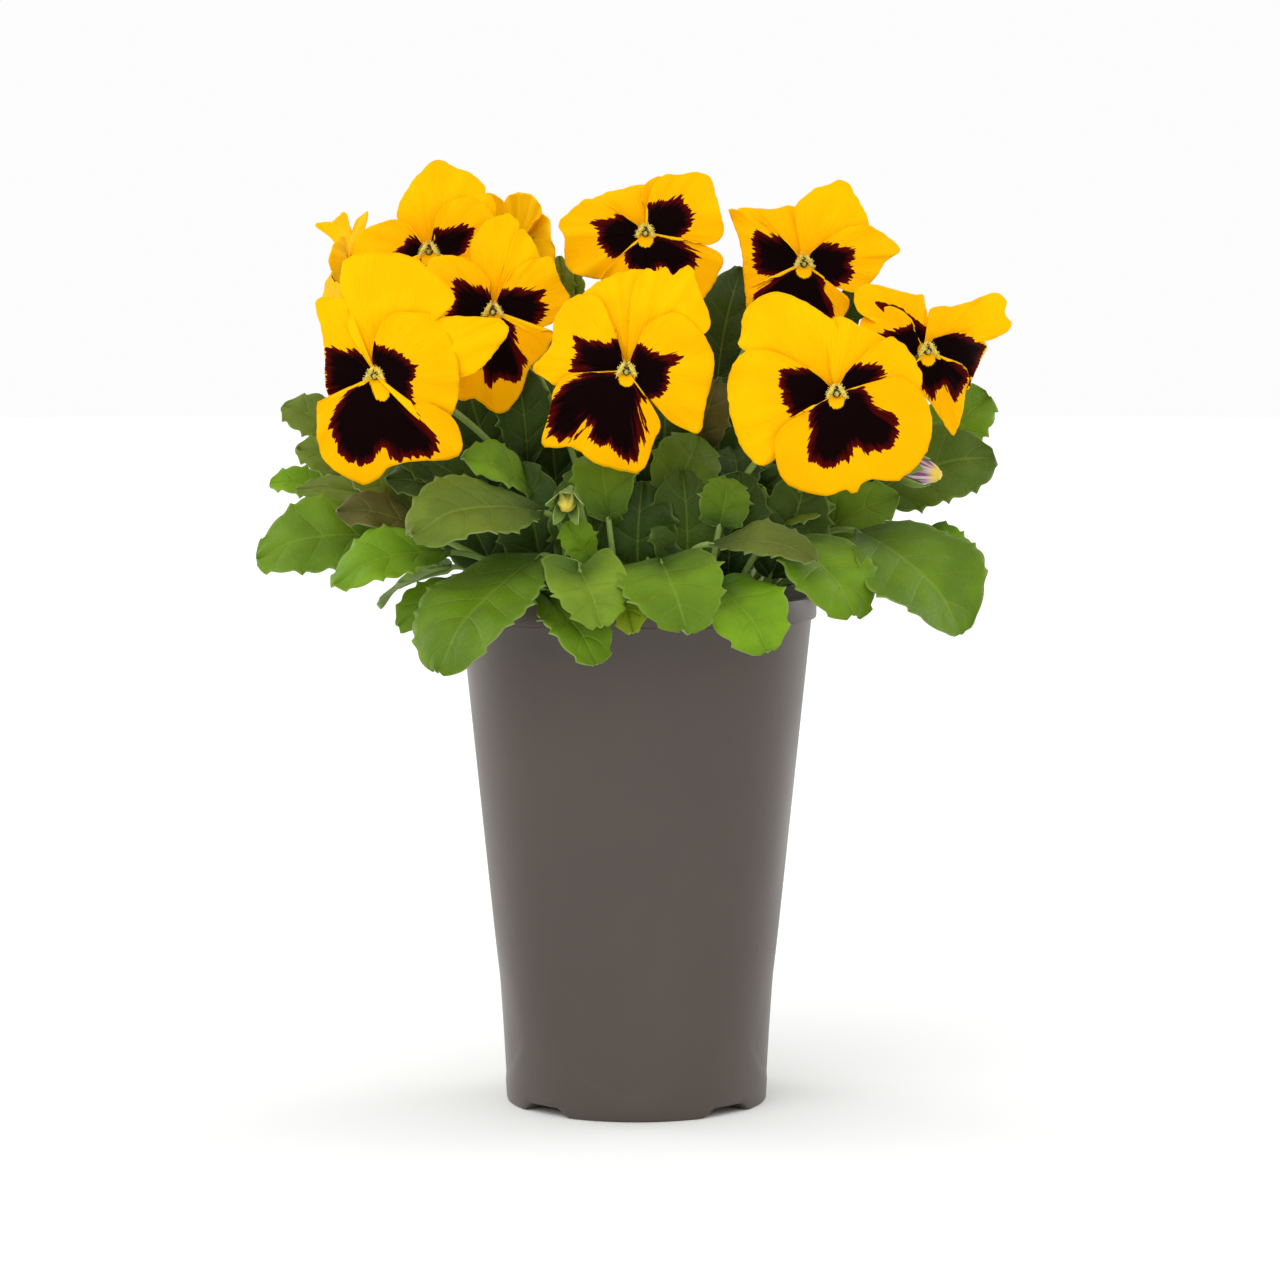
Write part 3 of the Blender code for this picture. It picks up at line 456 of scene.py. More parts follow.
BLOTCH_EDGES = {
    "front_right": {
        "left": ((-2, 5), (-12, 8), (-18, 7), (-18, 1), (-14, -8), (-8, -6), (-3, -2)),
        "right": ((1, 7), (9, 9), (14, 9), (16, 6), (12, 2), (4, 0)),
        "lip": ((-4, -3), (-8, -8), (-9, -17), (-8, -22), (-2, -24), (4, -22), (6, -18), (11, -20),
                (18, -17), (20, -13), (19, -8), (12, -4), (6, 0)),
    },
    "front_centre": {
        "left": ((-2, 4), (-3, 9), (-6, 8), (-12, 10), (-18, 12), (-17, 6), (-18, 0), (-9, -1), (-3, 0)),
        "right": ((3, 7), (7, 5), (11, 5), (18, 5), (14, 0), (13, -6), (9, -9), (5, -8), (2, -4)),
        "lip": ((-10, -1), (-20, -3), (-24, -9), (-26, -20), (-22, -23), (-17, -22), (-13, -17),
                (-12, -22), (-6, -25), (-1, -29), (4, -29), (6, -22), (5, -13), (3, -5)),
    },
    "front_left": {
        "left": ((-3, 3), (-8, 7), (-17, 9), (-17, 0), (-16, -7), (-8, -5), (-3, -2)),
        "right": ((-1, 8), (3, 7), (12, 4), (14, 2), (12, -3), (13, -8), (12, -11), (4, -5)),
        "lip": ((-3, -3), (-9, -6), (-14, -12), (-15, -18), (-12, -25), (-6, -29), (0, -27), (3, -24),
                (7, -28), (13, -27), (20, -25), (20, -19), (12, -10), (5, -4)),
    },
    "mid_left": {
        "left": ((-1, 3), (-6, 7), (-12, 11), (-14, 8), (-13, 3), (-16, -1), (-13, -3), (-4, -3)),
        "right": ((1, 4), (7, 6), (17, 8), (16, 4), (18, 0), (13, -5), (6, -6), (3, -3)),
        "lip": ((3, -3), (7, -9), (11, -18), (8, -23), (2, -23), (-2, -25), (-4, -20), (-8, -23),
                (-4, -17), (-1, -9)),
    },
    "top_left": {
        "left": ((-3, 2), (-6, 3), (-8, 0), (-14, -2), (-12, -4), (-3, -3)),
        "right": ((2, 5), (6, 6), (12, 9), (15, 6), (11, 0), (4, -1)),
        "lip": ((-3, -3), (-10, -4), (-8, -7), (-4, -11), (-1, -9), (0, -3)),
    },
    "turned_away": {
        "left": ((-1, 4), (-8, 7), (-13, 4), (-10, -4), (-3, -2)),
        "right": ((2, 4), (8, 7), (13, 4), (10, -4), (3, -2)),
        "lip": ((-3, -3), (-8, -10), (-6, -15), (0, -13), (6, -15), (8, -9), (3, -3)),
    },
    "far_left": {
        "left": ((-1, 3), (-5, 4), (-8, 2), (-6, -3), (-3, -2)),
        "right": ((2, 3), (5, 4), (8, 2), (6, -3), (3, -2)),
        "lip": ((-2, -2), (-2, -3), (0, -4), (2, -3), (2, -2)),
    },
    "top_centre": {
        "left": ((-2, 4), (-8, 5), (-18, 4), (-16, 1), (-16, -3), (-12, -8), (-8, -8), (-4, -4)),
        "right": ((0, 6), (5, 10), (13, 13), (13, 10), (16, 7), (14, 0), (5, -2)),
        "lip": ((-3, -4), (-6, -11), (2, -15), (5, -12), (9, -18), (14, -13), (17, -14), (17, -9),
                (19, -8), (10, -3)),
    },
    "top_right": {
        "left": ((-2, 5), (-9, 9), (-16, 11), (-17, 5), (-16, -3), (-10, -4), (-4, -2)),
        "right": ((2, 5), (6, 5), (11, 6), (18, 4), (16, 0), (17, -4), (14, -7), (8, -8), (3, -3)),
        "lip": ((-3, -3), (-14, -8), (-18, -13), (-13, -18), (-1, -20), (7, -20), (11, -17), (7, -10),
                (3, -4)),
    },
    "far_right": {
        "upper_left": ((-2, 4), (-14, 14), (-15, 17), (-11, 16), (-6, 14), (-3, 10), (1, 5)),
        "left": ((-2, 3), (-4, 7), (-8, 7), (-17, 6), (-10, 1), (-5, -2), (-2, -1)),
        "right": ((3, 4), (9, 6), (20, 4), (23, 1), (18, -9), (14, -13), (7, -8), (3, -3)),
        "lip": ((3, -3), (14, -6), (14, -11), (10, -17), (7, -15), (5, -11), (3, -14), (1, -17), (-4, -8),
                (-1, -3)),
    },
}
# Petals that stand further forward than the rest of their kind.
PETAL_LIFTS = {("front_left", "right"): 2.2, ("front_left", "upper_left"): 2.0}
# How long the teeth of a blotch are, where they aren't of USUAL_FRAY.
PETAL_FRAYS = {
    ("front_centre", "lip"): 3.0,
    ("far_right", "upper_left"): 0.5,
    ("far_left", "lip"): 0.8,
}
# How far the outer part of a petal curls forward.
PETAL_CURLS = {
    ("far_left", "upper_left"): 13.0,
    ("far_left", "upper_right"): 3.0,
    ("far_left", "left"): 2.0,
    ("far_left", "right"): 17.0,
    ("far_left", "lip"): 6.0,
}

# The yellow spot below the eye: a round-ended stroke from the eye to a point right and up of it.
THROAT_RADIUS = 2.7
THROAT_END = (0, -2.8)
THROAT_ENDS = {"front_left": (2.4, -6)}

# --- Buds --------------------------------------------------------------------
# name: (stalk foot x, y), (tip of the stalk x, y, z), (azimuth and elevation), length and radius of
#       the petals, length of the sepals and how far their points stand out.
BUDS = {
    "bud_green": ((-13, -35), (-22, -50, 207), (265, -25), 10, 3.2, 11.5, 4.0),
    "bud_purple": ((31, -17), (86, -40, 215), (330, -8), 14, 4.8, 10.5, 0.9),
}
# The two colours of the stripes of the rolled petals, and the colour of their tip.
BUD_COLOURS = {
    "bud_green": ((176, 178, 60), (206, 196, 84), (226, 200, 60)),
    "bud_purple": ((122, 62, 112), (214, 196, 204), (228, 196, 60)),
}
BUD_TWIST = 1.6
ROLL_COLUMNS = 40
ROLL_ROWS = 22

# --- Stage, in metres --------------------------------------------------------
FLOOR_RADIUS = 9.0
FLOOR_SIDES = 96
LIGHT_TARGET = (0.0, 0.0, 0.2)
# name, place, spread in degrees, strength as a share of the key light's.
LIGHTS = (
    ("key_light", (-0.8, -1.5, 1.5), 50, 1.0),
    ("rim_light_left", (-1.7, 0.9, 0.7), 40, 1.1),
    ("rim_light_right", (1.7, 0.9, 0.7), 40, 1.1),
)
CAMERA_PLACE = (0.0012, -1.330, 0.265)
CAMERA_PITCH = 4.7             # degrees below the horizon
CAMERA_LENS = 111.5


def linear(colour):
    """A linear colour from the 0 to 255 values of a colour picker."""
    shares = [value / 255 for value in colour]
    return tuple(s / 12.92 if s <= 0.04045 else ((s + 0.055) / 1.055) ** 2.4 for s in shares)


def colour_property(name, description, colour):
    """A colour that a user can change, with its usual value."""
    return FloatVectorProperty(name=name, description=description, subtype="COLOR", size=3,
                               min=0.0, max=1.0, default=linear(colour))


class PansyPotSettings(bpy.types.PropertyGroup):
    """Finish of the pot."""

    plastic_colour: colour_property("Plastic", "Colour of the moulded pot", (73, 62, 55))
    plastic_roughness: FloatProperty(name="Roughness", description="Roughness of the plastic",
                                     default=0.40, min=0.0, max=1.0, subtype="FACTOR")


class PansySoilSettings(bpy.types.PropertyGroup):
    """Soil in the pot."""

    soil_colour: colour_property("Soil", "Colour of the moist soil", (58, 42, 31))
    fibre_colour: colour_property("Fibres", "Colour of the dry fibres in the soil", (133, 104, 70))
    crumbs: IntProperty(name="Crumbs", description="How many crumbs lie on the soil", default=900, min=0)
    crumb_radius: FloatProperty(name="Crumb radius", description="Largest radius of a crumb",
                                default=1.9 * MM, min=0.1 * MM, subtype="DISTANCE", unit="LENGTH")


class PansyLeafSettings(bpy.types.PropertyGroup):
    """Finish of the leaves."""

    vein_colour: colour_property("Veins", "Colour of the midrib and side veins", (156, 178, 70))
    stalk_colour: colour_property("Stalks", "Colour of the leaf stalks", (120, 150, 62))
    tooth_depth: FloatProperty(name="Tooth depth", description="Depth of the round teeth of a leaf",
                               default=3.4 * MM, min=0.0, subtype="DISTANCE", unit="LENGTH")


class PansyFlowerSettings(bpy.types.PropertyGroup):
    """Finish of the flowers."""

    petal_colour: colour_property("Petals", "Colour of the open petals", (253, 192, 0))
    warm_colour: colour_property("Lip", "Colour of the warmer lower petal", (252, 183, 0))
    back_colour: colour_property("Petal backs", "Colour behind the petals", (253, 196, 2))
    blotch_colour: colour_property("Blotch", "Colour inside the dark blotch", (13, 1, 2))
    fringe_colour: colour_property("Fringe", "Colour of the blotch's thin red fringe", (82, 6, 4))
    throat_colour: colour_property("Throat", "Colour of the spot below the eye", (255, 186, 2))
    beard_colour: colour_property("Beard", "Colour of the two hairy pads of the eye", (244, 222, 84))
    ruffle: FloatProperty(name="Ruffle", description="Height of the waves along a petal's rim",
                          default=1.5 * MM, min=0.0, subtype="DISTANCE", unit="LENGTH")


class PansyStageSettings(bpy.types.PropertyGroup):
    """Floor and light."""

    floor_colour: colour_property("Floor", "Colour of the floor", (250, 250, 249))
    key_strength: FloatProperty(name="Key light", description="Strength of the light from the front",
                                default=0.75, min=0.0)
    sky: FloatProperty(name="Sky", description="Strength of the light from all round",
                       default=0.98, min=0.0)


# --- Node helpers ------------------------------------------------------------


def feed(tree, node, links):
    """Give each named input of a node a value, or the socket that feeds it."""
    for key, value in links.items():
        if isinstance(value, bpy.types.NodeSocket):
            tree.links.new(value, node.inputs[key])
        else:
            node.inputs[key].default_value = value


def add_node(tree, kind, links=None, **settings):
    """A new node with its settings and with what feeds its inputs."""
    node = tree.nodes.new(kind)
    for name, value in settings.items():
        setattr(node, name, value)
    feed(tree, node, links or {})
    return node


def calculate(tree, operation, first, second=0.0, third=0.0):
    """The result of a Math node."""
    links = {0: first, 1: second, 2: third}
    return add_node(tree, "ShaderNodeMath", links, operation=operation).outputs[0]


def noise_value(tree, place, scale, detail):
    """The value of a noise texture."""
    links = {"Vector": place, "Scale": scale, "Detail": detail}
    return add_node(tree, "ShaderNodeTexNoise", links).outputs[0]


def blend_colours(tree, share, first, second, mode="MIX"):
    """The colour between two colours, as share goes from 0 to 1."""
    links = {0: share}
    for key, value in ((6, first), (7, second)):
        links[key] = value if isinstance(value, bpy.types.NodeSocket) else (*value, 1.0)
    return add_node(tree, "ShaderNodeMix", links, data_type="RGBA", blend_type=mode).outputs[2]


def ramp(tree, value, low, high, start=0.0, end=1.0):
    """A smooth change from start to end while value goes from low to high."""
    links = {0: value, 1: low, 2: high, 3: start, 4: end}
    return add_node(tree, "ShaderNodeMapRange", links, interpolation_type="SMOOTHSTEP").outputs[0]


def between(tree, share, start, end):
    """A value from start to end, as share goes from 0 to 1."""
    return ramp(tree, share, 0.0, 1.0, start, end)


def add_bump(tree, shader, height, distance, strength=1.0):
    """Let a height in the shape of a value change how light falls on a material."""
    bump = add_node(tree, "ShaderNodeBump", {"Height": height, "Distance": distance, "Strength": strength})
    tree.links.new(bump.outputs["Normal"], shader.inputs["Normal"])


def node_group(name, inputs, build):
    """The node group of that name, where build(tree, given) makes the values that it puts out."""
    if name in bpy.data.node_groups:
        return bpy.data.node_groups[name]
    tree = bpy.data.node_groups.new(name, "ShaderNodeTree")
    for socket, default in inputs.items():
        kind = "NodeSocketVector" if default is None else "NodeSocketFloat"
        item = tree.interface.new_socket(socket, in_out="INPUT", socket_type=kind)
        if default is not None:
            item.default_value = default
    values = build(tree, tree.nodes.new("NodeGroupInput").outputs)
    for socket in values:
        tree.interface.new_socket(socket, in_out="OUTPUT", socket_type="NodeSocketFloat")
    feed(tree, tree.nodes.new("NodeGroupOutput"), values)
    return tree


def streaks_group():
    """Streaks that run out from the eye of a flower: flat X goes across them and Y along."""
    def build(tree, given):
        split = add_node(tree, "ShaderNodeSeparateXYZ", {0: given["Vector"]}).outputs
        across = calculate(tree, "DIVIDE", split[0], given["Width"])
        along = calculate(tree, "DIVIDE", split[1], given["Length"])
        place = add_node(tree, "ShaderNodeCombineXYZ", {0: across, 1: along, 2: split[2]}).outputs[0]
        return {"Streak": ramp(tree, noise_value(tree, place, 1.0, 2.0), 0.28, 0.72),
                "Fine": ramp(tree, noise_value(tree, place, 3.1, 3.0), 0.28, 0.72)}
    return node_group("radial_streaks", {"Vector": None, "Width": 1.4, "Length": 14.0}, build)


def veins_group():
    """The veins of a leaf whose flat X goes from margin to margin and Y from base to tip."""
    def build(tree, given):
        split = add_node(tree, "ShaderNodeSeparateXYZ", {0: given["Vector"]}).outputs
        centred = calculate(tree, "MULTIPLY_ADD", split[0], 2.0, -1.0)
        across = calculate(tree, "ABSOLUTE", centred)
        start = calculate(tree, "MULTIPLY_ADD", across, -VEIN_SLOPE, split[1])
        phase = calculate(tree, "FRACT", calculate(tree, "MULTIPLY", start, given["Count"]))
        near = calculate(tree, "ABSOLUTE", calculate(tree, "SUBTRACT", phase, 0.5))
        fade = ramp(tree, across, 0.55, 0.95, 1.0, 0.0)
        stretched = add_node(tree, "ShaderNodeVectorMath", {0: given["Vector"], 1: (1.0, 1.9, 1.0)},
                             operation="MULTIPLY").outputs[0]
        cells = add_node(tree, "ShaderNodeTexVoronoi", {"Vector": stretched, "Scale": 26.0},
                         feature="DISTANCE_TO_EDGE").outputs[0]
        return {"Midrib": ramp(tree, across, 0.01, 0.06, 1.0, 0.0),
                "Veins": calculate(tree, "MULTIPLY", ramp(tree, near, 0.42, 0.5), fade),
                "Net": ramp(tree, cells, 0.0, 0.12, 1.0, 0.0),
                "Margin": ramp(tree, across, 0.93, 0.985)}
    return node_group("leaf_veins", {"Vector": None, "Count": 7.0}, build)


def mottle_group():
    """Broad and fine unevenness at a given number of patches in each metre."""
    def build(tree, given):
        values = {}
        for name, factor, detail in (("Broad", 1.0, 3.0), ("Fine", 14.0, 4.0)):
            scale = calculate(tree, "MULTIPLY", given["Scale"], factor)
            values[name] = ramp(tree, noise_value(tree, given["Vector"], scale, detail), 0.3, 0.7)
        return values
    return node_group("mottle", {"Vector": None, "Scale": 40.0}, build)


def grouped(tree, group, links):
    """Place a node group in a material, feed it, and give its outputs."""
    return add_node(tree, "ShaderNodeGroup", links, node_tree=group).outputs


def flat_map(tree):
    """The flat coordinates that a sheet carries in its own UV map."""
    return add_node(tree, "ShaderNodeUVMap", uv_map="flat").outputs["UV"]


def object_map(tree):
    """Coordinates of the object itself, in metres."""
    return add_node(tree, "ShaderNodeTexCoord").outputs["Object"]


def attribute(tree, name, output="Fac"):
    """A value or colour that a mesh carries."""
    return add_node(tree, "ShaderNodeAttribute", attribute_name=name).outputs[output]


def mottled(tree, scale):
    """The mottle over an object."""
    return grouped(tree, mottle_group(), {"Vector": object_map(tree), "Scale": scale})


def streaked(tree, width, length):
    """The streaks over a petal."""
    return grouped(tree, streaks_group(), {"Vector": flat_map(tree), "Width": width, "Length": length})


def veined(tree, count):
    """The veins over a leaf or sepal."""
    return grouped(tree, veins_group(), {"Vector": flat_map(tree), "Count": count})


def dimmed(colour, *shares):
    """A colour scaled by one share, or by one for each of its parts."""
    return tuple(part * share for part, share in zip(colour, shares * 3 if len(shares) == 1 else shares))


def uneven(tree, cloud, colour, share):
    """A colour that falls to a share of itself in the broad patches of a mottle."""
    return blend_colours(tree, cloud["Broad"], dimmed(colour, share), tuple(colour))


def painted(tree, masks, shares, colour, paint):
    """A colour with a share of another laid on it at each named mask."""
    for name, share in shares.items():
        colour = blend_colours(tree, calculate(tree, "MULTIPLY", masks[name], share), colour, paint)
    return colour


def make_material(name, build, **constants):
    """The material of that name, which build(tree, shader) makes; constants go on the shader."""
    if name in bpy.data.materials:
        return bpy.data.materials[name]
    material = bpy.data.materials.new(name)
    material.use_nodes = True
    shader = material.node_tree.nodes["Principled BSDF"]
    for key, value in constants.items():
        shader.inputs[key.replace("_", " ")].default_value = value
    build(material.node_tree, shader)
    return material


def set_look(tree, shader, colour, roughness):
    """Feed the colour and roughness of a shader."""
    feed(tree, shader, {"Base Color": colour, "Roughness": roughness})


# --- Materials ---------------------------------------------------------------


def pot_material(settings):
    """Semi-matt moulded plastic with a fine grain and faint flow marks."""
    def build(tree, shader):
        cloud = mottled(tree, 16.0)
        rough = settings.plastic_roughness
        grain = noise_value(tree, object_map(tree), 1400.0, 2.0)
        height = calculate(tree, "MULTIPLY_ADD", cloud["Fine"], 0.6, grain)
        set_look(tree, shader, uneven(tree, cloud, settings.plastic_colour, 0.86),
                 between(tree, cloud["Broad"], rough - 0.05, rough + 0.05))
        add_bump(tree, shader, height, 0.05 * MM, 0.5)
    return make_material("moulded_plastic", build, IOR=1.5)


def soil_material(settings):
    """Moist peat soil with lighter crumbs."""
    def build(tree, shader):
        cloud = mottled(tree, 120.0)
        light = tuple(min(1.0, part * 1.9) for part in settings.soil_colour)
        colour = uneven(tree, cloud, settings.soil_colour, 0.35)
        crumbs = ramp(tree, cloud["Fine"], 0.62, 0.95, 0.0, 0.7)
        set_look(tree, shader, blend_colours(tree, crumbs, colour, light),
                 between(tree, cloud["Broad"], 0.80, 0.98))
        add_bump(tree, shader, cloud["Fine"], 0.8 * MM)
    return make_material("moist_peat", build)


def fibre_material(settings):
    """Dry plant fibres in the soil."""
    def build(tree, shader):
        cloud = mottled(tree, 300.0)
        set_look(tree, shader, uneven(tree, cloud, settings.fibre_colour, 0.45), 0.85)
        add_bump(tree, shader, cloud["Fine"], 0.1 * MM)
    return make_material("soil_fibre", build)


def leaf_top_material(settings):
    """Upper side of a leaf: its own tint with painted shade darkening it towards the base, paler veins and
    margin, and a quilted relief.
    """
    def build(tree, shader):
        veins = veined(tree, attribute(tree, "vein_count"))
        cloud = mottled(tree, 55.0)
        along = add_node(tree, "ShaderNodeSeparateXYZ", {0: flat_map(tree)}).outputs[1]
        # Painted shade: the blade darkens from its tint towards the base, where the leaves shade each
        # other.
        own = attribute(tree, "leaf_colour", "Color")
        shaded = blend_colours(tree, 1.0, own, (0.30, 0.38, 0.26), "MULTIPLY")
        own = blend_colours(tree, ramp(tree, along, 0.0, 0.55), shaded, own)
        deep = blend_colours(tree, 1.0, own, (0.62, 0.66, 0.55), "MULTIPLY")
        colour = blend_colours(tree, between(tree, cloud["Broad"], 0.0, 0.75), own, deep)
        pale = blend_colours(tree, 0.45, own, tuple(settings.vein_colour))
        colour = painted(tree, veins, {"Net": 0.09, "Veins": 0.16, "Midrib": 0.38, "Margin": 0.40},
                         colour, pale)
        sunk = calculate(tree, "MAXIMUM", veins["Midrib"], veins["Veins"])
        grain = calculate(tree, "MULTIPLY", cloud["Fine"], 0.25)
        relief = calculate(tree, "MULTIPLY_ADD", sunk, -1.0, grain)
        relief = calculate(tree, "MULTIPLY_ADD", veins["Net"], -0.22, relief)
        set_look(tree, shader, colour, between(tree, cloud["Fine"], 0.40, 0.58))
        add_bump(tree, shader, relief, 0.28 * MM, 0.8)
    return make_material("leaf_top", build, Specular_IOR_Level=0.22)


def leaf_under_material(settings):
    """Under side of a leaf: paler and duller, with raised veins."""
    def build(tree, shader):
        veins = veined(tree, attribute(tree, "vein_count"))
        cloud = mottled(tree, 70.0)
        own = attribute(tree, "leaf_colour", "Color")
        pale = blend_colours(tree, 0.38, own, linear((168, 184, 132)))
        colour = blend_colours(tree, calculate(tree, "MULTIPLY", cloud["Broad"], 0.4), pale, own)
        raised = calculate(tree, "MAXIMUM", veins["Midrib"], veins["Veins"])
        colour = painted(tree, {"Raised": raised}, {"Raised": 0.6}, colour, tuple(settings.vein_colour))
        height = calculate(tree, "MULTIPLY_ADD", veins["Net"], 0.3, raised)
        set_look(tree, shader, colour, between(tree, cloud["Broad"], 0.62, 0.76))
        add_bump(tree, shader, height, 0.3 * MM, 0.7)
    return make_material("leaf_under", build)


def stalk_material(settings):
    """Juicy green stalks, darker in patches and finely grained."""
    def build(tree, shader):
        cloud = mottled(tree, 60.0)
        set_look(tree, shader, uneven(tree, cloud, settings.stalk_colour, 0.62),
                 between(tree, cloud["Fine"], 0.42, 0.58))
        add_bump(tree, shader, cloud["Fine"], 0.08 * MM, 0.6)
    return make_material("stalk", build)


def petal_front_material(settings):
    """Golden petal with fine streaks, a dark blotch with a fringed red edge, and a yellow throat."""
    def build(tree, shader):
        radius = add_node(tree, "ShaderNodeSeparateXYZ", {0: flat_map(tree)}).outputs[1]
        teeth = streaked(tree, 1.5, 16.0)
        hairs = streaked(tree, 0.9, 22.0)
        cloud = mottled(tree, 60.0)
        tooth = calculate(tree, "MULTIPLY_ADD", teeth["Fine"], 0.45, teeth["Streak"])
        tooth = calculate(tree, "SUBTRACT", tooth, 0.8)
        tooth = calculate(tree, "MULTIPLY", tooth, attribute(tree, "fray"))
        depth = calculate(tree, "ADD", attribute(tree, "blotch"), tooth)
        depth = calculate(tree, "ADD", depth, ramp(tree, radius, 7.0, 15.0, 2.4, 0.0))
        golden = blend_colours(tree, attribute(tree, "warmth"), tuple(settings.petal_colour),
                               tuple(settings.warm_colour))
        deep = dimmed(settings.warm_colour, 0.93, 0.72, 0.6)
        inner = ramp(tree, radius, 6.0, 30.0, 0.55, 0.12)
        colour = blend_colours(tree, calculate(tree, "MULTIPLY", hairs["Fine"], inner), golden, deep)
        colour = blend_colours(tree, between(tree, cloud["Broad"], 0.0, 0.22), colour, deep)
        inside = blend_colours(tree, ramp(tree, depth, 0.0, 3.2), tuple(settings.fringe_colour),
                               tuple(settings.blotch_colour))
        colour = blend_colours(tree, ramp(tree, depth, -0.14, 0.14), colour, inside)
        frayed = calculate(tree, "MULTIPLY_ADD", hairs["Streak"], -0.5, attribute(tree, "throat"))
        colour = blend_colours(tree, ramp(tree, frayed, -0.35, 0.1), colour,
                               tuple(settings.throat_colour))
        set_look(tree, shader, colour, between(tree, hairs["Fine"], 0.48, 0.62))
        add_bump(tree, shader, hairs["Streak"], 0.12 * MM, 0.5)
    return make_material("petal_front", build, Specular_IOR_Level=0.02)


def petal_back_material(settings):
    """Back and cut edge of a petal: plain yellow with raised streaks."""
    def build(tree, shader):
        hairs = streaked(tree, 1.3, 26.0)
        base = tuple(settings.back_colour)
        colour = blend_colours(tree, ramp(tree, hairs["Streak"], 0.3, 1.0, 0.0, 0.55), base,
                               dimmed(base, 0.95, 0.9, 0.7))
        set_look(tree, shader, colour, 0.58)
        add_bump(tree, shader, hairs["Streak"], 0.12 * MM, 0.6)
    return make_material("petal_back", build, Specular_IOR_Level=0.02)


def beard_material(settings):
    """Yellow pads of fine hairs on both sides of the eye."""
    def build(tree, shader):
        cloud = mottled(tree, 700.0)
        set_look(tree, shader, uneven(tree, cloud, settings.beard_colour, 0.85), 0.7)
        add_bump(tree, shader, cloud["Fine"], 0.05 * MM)
    return make_material("eye_beard", build, Sheen_Weight=0.3)


def stigma_material():
    """The small knob in the middle of a flower, green and cream."""
    def build(tree, shader):
        cloud = mottled(tree, 900.0)
        colour = blend_colours(tree, cloud["Broad"], linear((126, 148, 40)), linear((206, 196, 120)))
        set_look(tree, shader, colour, 0.4)
        add_bump(tree, shader, cloud["Fine"], 0.03 * MM)
    return make_material("eye_stigma", build)


def painted_throat_shade_material():
    """Painted shade: a dark lump that stands for the shaded opening of the throat behind the stigma."""
    def build(tree, shader):
        cloud = mottled(tree, 600.0)
        colour = blend_colours(tree, cloud["Broad"], linear((40, 8, 4)), linear((96, 44, 8)))
        set_look(tree, shader, colour, 0.7)
    return make_material("eye_painted_shade", build)


def sepal_material(settings):
    """Pointed green leaves behind a flower or round a bud."""
    def build(tree, shader):
        veins = veined(tree, 3.0)
        cloud = mottled(tree, 90.0)
        colour = painted(tree, veins, {"Margin": 0.6, "Midrib": 0.4},
                         uneven(tree, cloud, settings.stalk_colour, 0.6), linear((176, 190, 112)))
        set_look(tree, shader, colour, between(tree, cloud["Fine"], 0.45, 0.6))
        add_bump(tree, shader, veins["Midrib"], -0.15 * MM, 0.7)
    return make_material("sepal", build)


def rolled_petal_material(name, first, second, tip):
    """Rolled petals of a bud, striped lengthwise, with a yellower tip."""
    def build(tree, shader):
        along = add_node(tree, "ShaderNodeSeparateXYZ", {0: flat_map(tree)}).outputs[1]
        stripes = streaked(tree, 1.5, 30.0)
        colour = blend_colours(tree, ramp(tree, stripes["Streak"], 0.3, 0.7), linear(first),
                               linear(second))
        colour = blend_colours(tree, ramp(tree, along, 0.70, 0.95), colour, linear(tip))
        set_look(tree, shader, colour, 0.5)
        add_bump(tree, shader, stripes["Streak"], 0.15 * MM, 0.7)
    return make_material(name, build, Sheen_Weight=0.1)


def floor_material(settings):
    """Plain pale floor."""
    def build(tree, shader):
        set_look(tree, shader, uneven(tree, mottled(tree, 2.0), settings.floor_colour, 0.985), 0.9)
    return make_material("floor", build, Specular_IOR_Level=0.2)


# --- Shapes ------------------------------------------------------------------


def smooth_step(value, start, end):
    """0 below start, 1 above end, and a smooth rise between them."""
    t = min(1.0, max(0.0, (value - start) / (end - start)))
    return t * t * (3.0 - 2.0 * t)


def bezier(points, t):
    """A point on the cubic curve through four control points, and its direction there."""
    p0, p1, p2, p3 = points
    u = 1.0 - t
    place = p0 * u ** 3 + p1 * 3 * u * u * t + p2 * 3 * u * t * t + p3 * t ** 3
    along = (p1 - p0) * 3 * u * u + (p2 - p1) * 6 * u * t + (p3 - p2) * 3 * t * t
    return place, along.normalized()


def smooth_line(points, closed, steps=6):
    """A smooth line of many points through a few, given as pairs."""
    knots = [Vector(point) for point in points]
    count = len(knots)
    line = []
    for i in range(count if closed else count - 1):
        if closed:
            a, b, c, d = (knots[(i + k) % count] for k in (-1, 0, 1, 2))
        else:
            a, b, c, d = (knots[min(max(i + k, 0), count - 1)] for k in (-1, 0, 1, 2))
        for step in range(steps):
            t = step / steps
            line.append(0.5 * (2 * b + (c - a) * t + (2 * a - 5 * b + 4 * c - d) * t * t
                               + (3 * b - a - 3 * c + d) * t ** 3))
    if not closed:
        line.append(knots[-1])
    return line


def spaced(line, count):
    """count + 1 evenly spaced points along a line."""
    travelled = [0.0]
    for start, end in zip(line, line[1:]):
        travelled.append(travelled[-1] + (end - start).length)
    points = []
    span = 0
    for i in range(count + 1):
        wanted = travelled[-1] * i / count
        while span < len(line) - 2 and travelled[span + 1] < wanted:
            span += 1
        share = (wanted - travelled[span]) / (travelled[span + 1] - travelled[span])
        points.append(line[span].lerp(line[span + 1], share))
    return points


